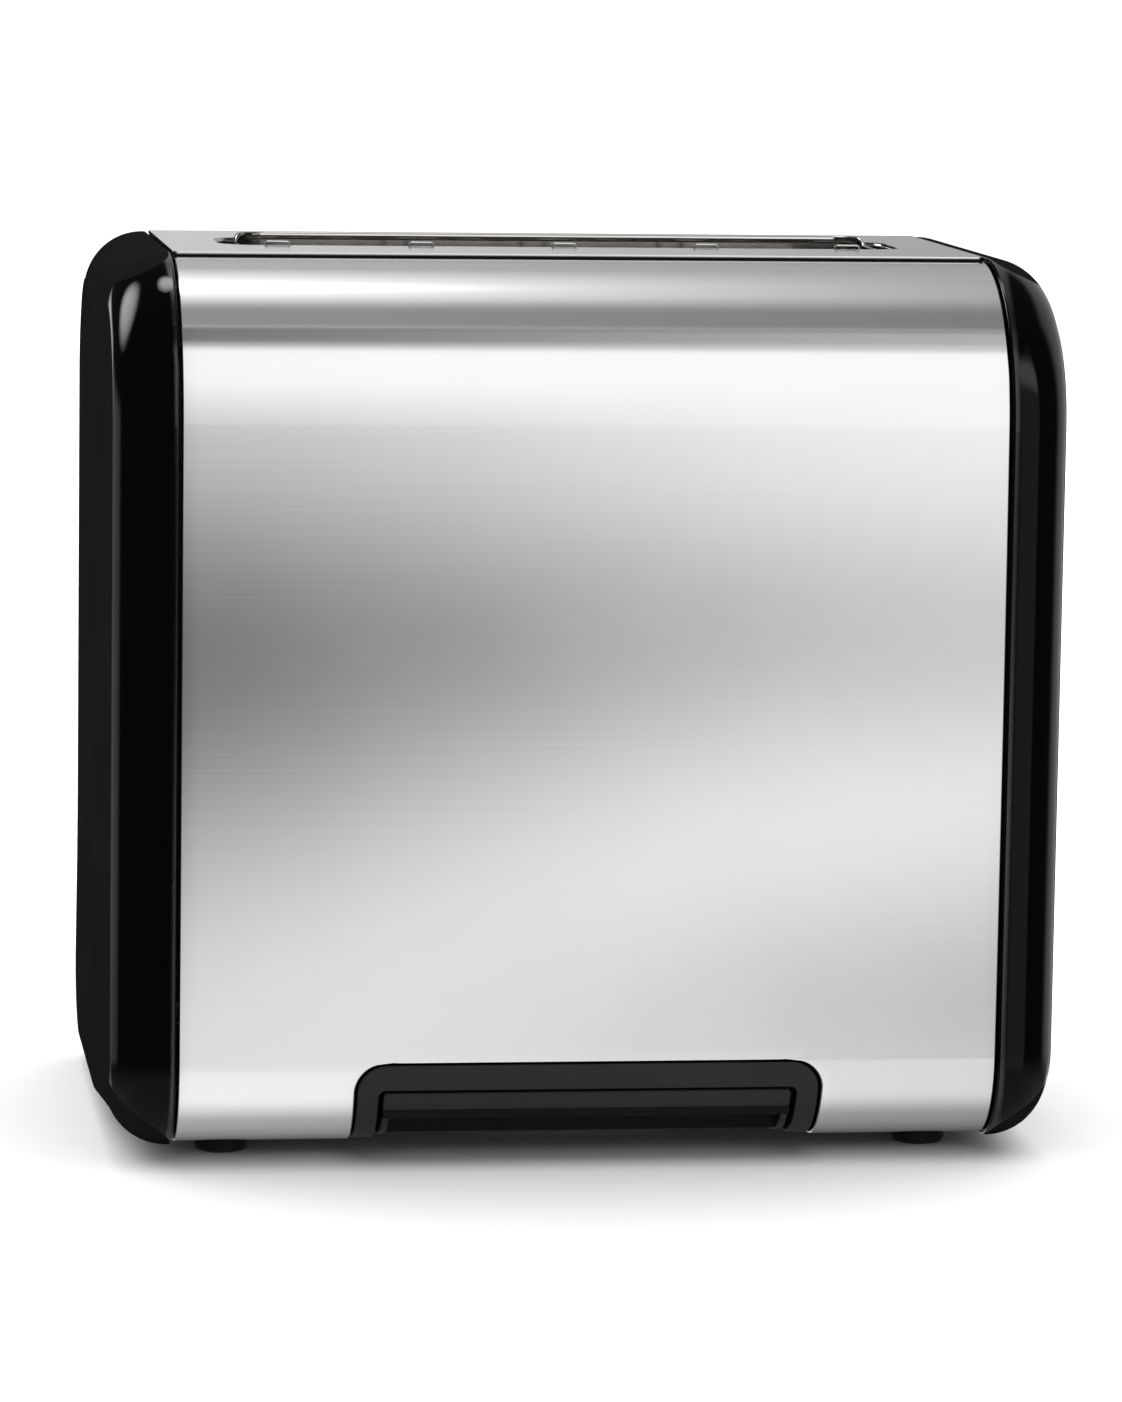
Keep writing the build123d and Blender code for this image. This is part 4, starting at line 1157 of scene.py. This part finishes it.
@dataclass
class Controls:
    """Lever knob, browning dial and three push buttons on the right end."""

    start: float = 102.8
    knob_end: float = 112.0
    knob_half: tuple[float, float] = (11.0, 5.5)
    knob_corner: float = 4.0
    knob_edge: float = 2.2
    knob_foot: float = 0.5
    knob_back: float = 3.0
    least_corner: float = 0.6
    knob_height: float = 142.0
    knob_dish: float = 0.55
    ridge: float = 0.4
    ridge_pitch: float = 2.2
    dial_end: float = 111.0
    dial_radius: float = 13.0
    flutes: int = 20
    flute_depth: float = 0.75
    pointer_half: float = 0.55
    pointer_reach: Range = (4.6, 9.4)
    pointer_depths: Range = (0.8, 0.38)
    pointer_round: float = 0.12
    scale_reach: Range = (15.0, 17.4)
    scale_long: float = 18.2
    scale_half: float = 0.35
    scale_depths: Range = (-0.05, 0.04)
    button_radius: float = 4.5
    button_end: float = 103.8
    button_start: float = 96.5
    button_round: float = 0.7
    button_dish: float = 0.45
    flange_out: float = 1.0
    flange_thickness: float = 0.8

    def knob(self, black: Material) -> None:
        """Finger knob: a rounded block whose outer face is dished, with three soft grip ridges.

        Rings of a rounded rectangle go out along X, round the edge, and in to the middle of the face.
        The dish is one less the fourth power of the distance, and the ridges are the upper half of a
        cosine of the height.
        """
        edge, foot = self.knob_edge, self.start + self.knob_foot
        turn = np.linspace(0.0, math.pi / 2, 9)[1:]
        reach = np.concatenate([[self.start, self.start, foot],
                                np.linspace(foot, self.knob_end - edge, 6)[1:],
                                self.knob_end - edge + edge * np.sin(turn)])
        inset = np.concatenate([[self.knob_back, self.knob_foot, 0.0], np.zeros(5),
                                edge * (1 - np.cos(turn))])
        rings = []
        for x, draw in zip(reach, inset):
            loop, _ = rounded_loop(self.knob_half[0] - draw, self.knob_half[1] - draw,
                                   max(self.knob_corner - draw, self.least_corner), 10, 12)
            rings.append(together(x, loop[:, 0], loop[:, 1]))
        share = np.linspace(1.0, 0.0, 26)[1:]
        face = rings[-1] * np.array([0.0, 1.0, 1.0]) * share[:, None, None]
        ridge = np.clip(np.cos(2 * math.pi * face[:, :, 2] / self.ridge_pitch), 0.0, None)
        dish = (self.knob_dish - self.ridge * ridge) * (1.0 - share[:, None] ** 4)
        face[:, :, 0] = self.knob_end - dish
        back = rings[0] * np.array([1.0, 0.0, 0.0])
        grid = np.concatenate([[back], rings, face])
        grid[:, :, 2] += self.knob_height
        piece = make_piece("lever_finger_knob", [surface(grid, False, True)])
        finish_piece(piece, black, "carriage", "knob_black", "lever_knob")

    def dial(self, black: Material, white: Material) -> None:
        """Fluted dial with a plain skirt, a sunk face and a white pointer line.

        The radius at each ring is the profile's, less a flute depth times the fourth power of half a
        raised cosine round the turn.
        """
        start, end, size, height = self.start, self.dial_end, self.dial_radius, EndCaps.dial_height
        profile = np.array([(start, 0.0), (start, size - 0.6), (start + 0.2, size - 0.15),
                            (start + 0.5, size), (start + 1.3, size), (start + 1.55, size - 0.3),
                            (start + 1.7, size - 0.45), (start + 3.5, size - 0.55),
                            (end - 1.3, size - 0.75), (end - 0.7, size - 0.95), (end - 0.25, size - 1.4),
                            (end, size - 2.1), (end - 0.1, size - 2.5), (end - 0.4, size - 2.8),
                            (end - 0.55, size - 3.4), (end - 0.5, 4.0), (end - 0.45, 0.0)])
        mask = np.array([0, 0, 0, 0, 0, 0.2, 0.7, 1, 1, 0.8, 0.4, 0.1, 0, 0, 0, 0, 0], float)
        turn = np.linspace(0.0, 2 * math.pi, self.flutes * 12, endpoint=False)
        flute = (0.5 + 0.5 * np.cos(self.flutes * turn)) ** 4
        radius = profile[:, 1:] - self.flute_depth * mask[:, None] * flute
        grid = together(profile[:, :1], radius * np.sin(turn), height + radius * np.cos(turn))
        piece = make_piece("browning_dial_knob", [surface(grid, False, True)])
        finish_piece(piece, black, "dial", "knob_black", "browning_dial")
        line = block([end - depth for depth in self.pointer_depths],
                     (-self.pointer_half, self.pointer_half),
                     [height + reach for reach in self.pointer_reach])
        piece = make_piece("dial_pointer_line", [line])
        soften(piece, self.pointer_round)
        finish_piece(piece, white, "dial", "knob_black")

    def scale(self, white: Material) -> None:
        """Seven plain graduations round the dial, printed on the cap."""
        depths = EndCaps.end + np.array(self.scale_depths)[:, None]
        near, far = self.scale_reach
        across = self.scale_half * np.array([-1.0, -1.0, 1.0, 1.0])
        parts = []
        for step in range(7):
            turn = math.radians(-135.0 + 45.0 * step)
            last = far if step % 3 else self.scale_long
            out = np.array([near, last, last, near])
            y = out * math.sin(turn) + across * math.cos(turn)
            z = out * math.cos(turn) - across * math.sin(turn)
            grid = together(depths, y, z + EndCaps.dial_height)
            parts += [surface(grid, False, True), closed_end(grid[0]), closed_end(grid[1])]
        add_flat("browning_scale", parts, white, "housing", "gloss_black")

    def button(self, name: str, y: float, body: str, node: str, black: Material) -> None:
        """One push button: a turned shape with a rounded rim and a shallow dish for the finger."""
        start, end, size = self.button_start, self.button_end, self.button_radius
        flat, flange = size - self.button_round, start + self.flange_thickness
        edge = np.radians(np.linspace(0.0, 90.0, 7))
        rim = together(end - self.button_round + self.button_round * np.sin(edge),
                       flat + self.button_round * np.cos(edge))
        radius = np.linspace(flat, 0.0, 12)[1:]
        dish = together(end - self.button_dish * (1.0 - (radius / flat) ** 2), radius)
        foot = [[start, 0.0], [start, size + self.flange_out], [flange, size + self.flange_out],
                [flange, size]]
        points, faces = lathe(np.concatenate([foot, rim, dish])[:, ::-1], 48)
        place = np.array([0.0, y, EndCaps.button_height])
        add_flat(name, [(points + place, faces)], black, body, "button_black", node)

    def build(self, black: Material, button: Material, white: Material) -> None:
        """Makes all the controls."""
        self.knob(black)
        self.dial(black, white)
        self.scale(white)
        for y, job in zip((-EndCaps.button_pitch, 0.0, EndCaps.button_pitch), Job):
            self.button(f"{job.value}_push_button", y, job.value, f"{job.value}_button", button)


@dataclass(frozen=True)
class Lamp:
    """A soft round lamp that only shiny parts see: its direction, its size in radians, its strength."""

    aim: tuple[float, float, float]
    size: float
    power: float

    def seen(self, direction: tuple[Signal, Signal, Signal]) -> Signal:
        """Its light in a direction: a smooth step of the cosine of the angle to its middle."""
        length = math.sqrt(sum(a * a for a in self.aim))
        cosine = sum((d * (a / length) for d, a in zip(direction, self.aim)), 0.0)
        return cosine.rise(math.cos(2.5 * self.size), 1.0) * self.power


@dataclass
class Studio:
    """Pale floor, soft white surroundings, and what the shiny parts see in them.

    Ranges that go beyond 1 or -1 are angles in degrees. The others are X, Y or Z of a unit direction.
    """

    floor_size: float = 6.0
    floor_level: float = 0.9
    backdrop: float = 1.2
    dome: float = 0.56
    overhead: float = 1.2
    overhead_z: Range = (0.3, 1.0)
    behind: float = 1.7
    behind_y: Range = (-0.1, 0.5)
    behind_z: Range = (0.2, 0.6)
    steel_level: float = 0.72
    steel_sides: Range = (0.052, 0.212)
    steel_left: Range = (-0.02, 0.05)
    steel_right: Range = (0.22, 0.34)
    low_z: Range = (-0.5, -0.24)
    low_y: Range = (0.75, 0.9)
    low_glow: float = 0.6
    floor_z: Range = (-0.55, -0.17)
    floor_glow: float = 0.14
    room_level: float = 0.015
    left_glow: Range = (118.0, 150.0)
    left_strip: Range = (150.0, 168.0)
    right_panel: Range = (20.0, 57.0)
    right_bright: Range = (30.0, 50.0)
    right_glow: Range = (110.0, 176.0)
    key: Lamp = Lamp((-0.66, 0.53, 0.48), 0.13, 3.6)
    top: Lamp = Lamp((-0.06, 0.36, 0.93), 0.075, 5.0)
    wall_dim: Range = (-6.0, 34.0)
    wall_end: Range = (51.0, 61.0)
    band_start: Range = (-6.2, -2.6)
    second_fade: Range = (-13.8, -12.2)
    lift_end: Range = (-30.0, -14.0)
    floor_near: Range = (-98.0, -55.0)
    floor_far: Range = (-170.0, -85.0)
    gap: Range = (57.0, 70.0)
    gap_line: Range = (71.2, 72.8)
    over_start: Range = (69.0, 72.0)
    lamp_start: Range = (86.0, 105.0)
    lamp_end: Range = (116.0, 140.0)
    rear_start: Range = (120.0, 136.0)
    rear_dim: Range = (146.0, 160.0)
    plate_start: Range = (171.0, 175.5)
    rear_end: Range = (178.3, 179.6)

    def build(self) -> None:
        """Makes the floor and the surroundings."""
        bpy.context.scene.view_settings.view_transform = "Standard"
        self._floor()
        self._world()

    def _floor(self) -> None:
        """A plain pale floor."""
        half = self.floor_size / 2
        mesh = bpy.data.meshes.new("floor")
        mesh.from_pydata([(-half, -half, 0), (half, -half, 0), (half, half, 0), (-half, half, 0)], [],
                         [(0, 1, 2, 3)])
        floor = add_object("floor", mesh)
        made, graph = new_graph("pale_floor")
        graph.close(graph.add("ShaderNodeBsdfDiffuse", None, {"Color": grey(self.floor_level)}))
        mesh.materials.append(made)
        floor.visible_glossy = False

    def _world(self) -> None:
        """White surroundings for sight and soft light, and a studio of panels for reflections."""
        world = bpy.data.worlds.new("studio")
        world.use_nodes = True
        bpy.context.scene.world = world
        graph = Graph(world.node_tree)
        aim = graph.axes(graph.add("ShaderNodeTexCoord").outputs["Generated"])
        path = graph.add("ShaderNodeLightPath")
        glossy = Signal(graph, path.outputs["Is Glossy Ray"])
        camera = Signal(graph, path.outputs["Is Camera Ray"])
        _, y, z = aim
        soft = self.dome + z.rise(*self.overhead_z) * self.overhead
        soft = soft + y.rise(*self.behind_y) * z.rise(*self.behind_z) * self.behind
        plain = camera * self.backdrop + (1.0 - camera) * soft
        strength = glossy * self._seen(aim) + (1.0 - glossy) * plain
        shader = graph.add("ShaderNodeBackground", None, {"Color": grey(1.0), "Strength": strength})
        graph.close(shader, "ShaderNodeOutputWorld")

    def _seen(self, aim: tuple[Signal, Signal, Signal]) -> Signal:
        """What shiny parts see.

        Rise is the angle from the camera side's horizon over the top to the rear, and turn is the one
        from the camera side's middle to the right. The front panels stand a little to the right, where
        the steel reflects them.
        """
        x, y, z = aim
        rise = z.arctan2(y * -1.0) * math.degrees(1.0)
        turn = x.arctan2(y * -1.0) * math.degrees(1.0)
        side = (x.rise(*self.steel_sides) - 0.5) * 2.0
        facing = x.rise(*self.steel_left) * (1.0 - x.rise(*self.steel_right))
        steel = (self._front(rise, side) + self._above(rise, side)) / self.steel_level
        right = self._right_side(turn, rise, z) * (1.0 - facing)
        low = z.band(*self.low_z, 0.06) * y.rise(*self.low_y) * self.low_glow
        low = (low + (1.0 - z.rise(*self.floor_z)) * self.floor_glow) * (1.0 - facing)
        lamps = self.key.seen(aim) + self.top.seen(aim)
        return facing * steel + self._left_side(turn, z) + right + low + lamps

    def _front(self, rise: Signal, side: Signal) -> Signal:
        """Front panels and the floor before them, by the rise angle and the side from -1 to 1.

        A white wall that dims downwards at the left, a dark band under it, the floor behind the band,
        a second dark band at the right, and the floor that darkens under the body.
        """
        dim = (1.0 - rise.rise(*self.wall_dim)) * (0.17 - side * 0.17)
        under = 1.0 - (rise + side * 0.25).rise(*self.band_start)
        back = ((rise + 6.2) / (side * 2.2 - side * side - 3.8)).rise(0.0, 1.0)
        band = under * (0.54 - side * 0.035 - back * (0.635 - side * 0.12))
        second = ((-9.8 + side * 1.3 - rise) / 3.6).rise(0.0, 1.0)
        second = second * (0.31 + side * 0.29) * (1.0 - (1.0 - rise.rise(*self.second_fade)) * 0.5)
        lift = (1.0 - rise.rise(*self.lift_end)) * (0.06 - side * 0.07)
        wall = (0.97 - dim - band - second + lift) * (1.0 - rise.rise(*self.wall_end))
        floor = rise.rise(*self.floor_near) * 0.57 + rise.rise(*self.floor_far) * 0.37 + 0.06
        return wall * floor

    def _above(self, rise: Signal, side: Signal) -> Signal:
        """Gap over the front wall with a thin line in it, the overhead lamp, and the rear wall."""
        gap = rise.band(*self.gap, 2.0) * (0.29 + side * 0.14)
        line = rise.band(*self.gap_line, 0.6) * 0.17
        over = rise.rise(*self.over_start) * (0.22 - side * 0.04)
        lamp = rise.rise(*self.lamp_start) * (1.0 - rise.rise(*self.lamp_end)) * (0.45 - side * 0.28)
        rear = rise.rise(*self.rear_start) * 0.14 - rise.rise(*self.rear_dim) * 0.06
        plate = rise.rise(*self.plate_start) * (0.07 - side * 0.05)
        return (gap + line + over + lamp + rear + plate) * (1.0 - rise.rise(*self.rear_end))

    def _left_side(self, turn: Signal, z: Signal) -> Signal:
        """Dark room at the left, with a low glow and a bright strip behind it."""
        glow = (turn * -1.0).band(*self.left_glow, 6.0) * z.band(-0.2, 0.0, 0.05) * 0.3
        strip = (turn * -1.0).band(*self.left_strip, 4.0) * z.band(-0.07, 0.05, 0.02)
        return glow + strip + self.room_level

    def _right_side(self, turn: Signal, rise: Signal, z: Signal) -> Signal:
        """Grey panel at the right that brightens upwards, and a glow behind it."""
        panel = turn.band(*self.right_panel, 3.0) * (0.2 + rise.band(*self.right_bright, 6.0) * 0.8)
        glow = turn.band(*self.right_glow, 10.0) * z.band(-0.25, 0.6, 0.1) * 0.4
        return panel * z.band(-0.4, 0.7, 0.1) + glow


@dataclass
class ViewPoint:
    """The camera, as worked out from the seams, corners and outlines in the photograph."""

    focal_pixels: float = 6079.0
    place: tuple[float, float, float] = (-174.4, -1336.1, 266.8)
    yaw: float = -7.54
    pitch: float = 7.42
    roll: float = 0.83
    sensor: float = 36.0

    def build(self) -> None:
        """Makes the camera at the photograph's viewing angle."""
        yaw, pitch, roll = (math.radians(a) for a in (self.yaw, self.pitch, self.roll))
        level = np.array([[math.cos(yaw), math.sin(yaw), 0.0], [-math.sin(yaw), math.cos(yaw), 0.0],
                          [0.0, 0.0, 1.0]])
        tilt = np.array([[1.0, 0.0, 0.0], [0.0, math.cos(pitch), -math.sin(pitch)],
                         [0.0, math.sin(pitch), math.cos(pitch)]])
        right, forward, up = tilt @ level
        side = math.cos(roll) * right + math.sin(roll) * up
        over = math.cos(roll) * up - math.sin(roll) * right
        data = bpy.data.cameras.new("camera")
        data.sensor_fit = "VERTICAL"
        data.sensor_height = self.sensor
        data.lens = self.focal_pixels / IMAGE_HEIGHT * self.sensor
        data.clip_start = 0.01
        data.clip_end = 50.0
        place = (np.array(self.place) + np.array([BODY.middle, 0.0, 0.0])) * MM
        turned = np.eye(4)
        turned[:3, 0], turned[:3, 1], turned[:3, 2], turned[:3, 3] = side, over, -forward, place
        camera = add_object("camera", data)
        camera.matrix_world = Matrix(turned.tolist())
        bpy.context.scene.camera = camera


FINISHES = {
    "satin_steel": MetalFinish("satin_steel", grey(0.72), grey(0.7), 0.11, 0.01, Grain.ALONG_X,
                               0.004),
    "liner_steel": MetalFinish("bright_liner_steel", grey(0.66, 0.02), grey(0.6, 0.03), 0.1, 0.03),
    "gloss_black": CapFinish("black_shell", PlasticFinish("gloss", grey(0.0010), 0.05, 0.02),
                             PlasticFinish("satin", grey(0.0075), 0.6, 0.06, 1400.0, 0.1, 0.0),
                             101.75 * MM, 88.5 * MM, 0.1 * MM),
    "knob_black": PlasticFinish("knob_black", grey(0.004), 0.16),
    "button_black": PlasticFinish("button_black", grey(0.006), 0.24),
    "black_plastic": PlasticFinish("black_base_plastic", grey(0.012), 0.42),
    "bezel_grey": PlasticFinish("bezel_grey", grey(0.02), 0.5, specular=0.25),
    "tray_grey": PlasticFinish("tray_grey", grey(0.021), 0.5, specular=0.25),
    # the tray's plastic painted near black, as the shade in the finger recess
    "tray_recess_painted_shade": PlasticFinish("tray_recess_painted_shade", grey(0.004), 0.6, specular=0.2),
    "rubber": PlasticFinish("foot_rubber", grey(0.006), 0.7, specular=0.3),
    "white_print": PlasticFinish("white_print", grey(0.7), 0.5),
    "zinc_steel": MetalFinish("zinc_steel", grey(0.6), grey(0.5), 0.35, 0.1),
    "reflector_steel": MetalFinish("reflector_steel", grey(0.62), grey(0.56), 0.28, 0.06),
    "mica": PlasticFinish("mica_card", (0.42, 0.36, 0.27, 1.0), 0.5),
    "ribbon_metal": MetalFinish("heating_ribbon", (0.35, 0.31, 0.28, 1.0), grey(0.25), 0.4),
    "guide_wire": MetalFinish("guide_wire", grey(0.7), grey(0.62), 0.2, 0.05),
    "rod_steel": MetalFinish("rod_steel", grey(0.65), grey(0.6), 0.18),
    "nylon_white": PlasticFinish("nylon_white", (0.75, 0.73, 0.68, 1.0), 0.45),
    "copper_winding": MetalFinish("copper_winding", (0.72, 0.35, 0.2, 1.0), (0.6, 0.28, 0.15, 1.0),
                                  0.3),
    "contact_brass": MetalFinish("contact_brass", (0.78, 0.6, 0.3, 1.0), (0.7, 0.52, 0.26, 1.0),
                                 0.3),
    "board_green": PlasticFinish("board_green", (0.02, 0.14, 0.06, 1.0), 0.35),
    "screw_steel": MetalFinish("screw_steel", grey(0.55), grey(0.5), 0.3),
}


def dress_inside(frame: dict, made: dict[str, Material]) -> None:
    """Gives each carried-over CAD node its finish, by its material slot."""
    for part in frame["record"]["subparts"]:
        node = frame["nodes"][part["node"]]
        node.data.materials.clear()
        node.data.materials.append(made[part["material_slot"]])


def main() -> None:
    """Builds the toaster's looks and the studio."""
    logging.basicConfig(level=logging.INFO, format="%(name)s: %(message)s")
    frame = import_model()
    made = {slot: finish.material() for slot, finish in FINISHES.items()}
    dress_inside(frame, made)
    SteelWrap().build(made["satin_steel"])
    TopPlate().build(made["satin_steel"], made["rubber"])
    SlotLiner().build(made["liner_steel"])
    EndCaps().build(made["gloss_black"])
    TrayFront().build(made["bezel_grey"], made["tray_grey"], made["tray_recess_painted_shade"])
    Feet().build(made["rubber"])
    BreadGuides().build(made["guide_wire"])
    Controls().build(made["knob_black"], made["button_black"], made["white_print"])
    Studio().build()
    ViewPoint().build()


if __name__ == "__main__":
    main()
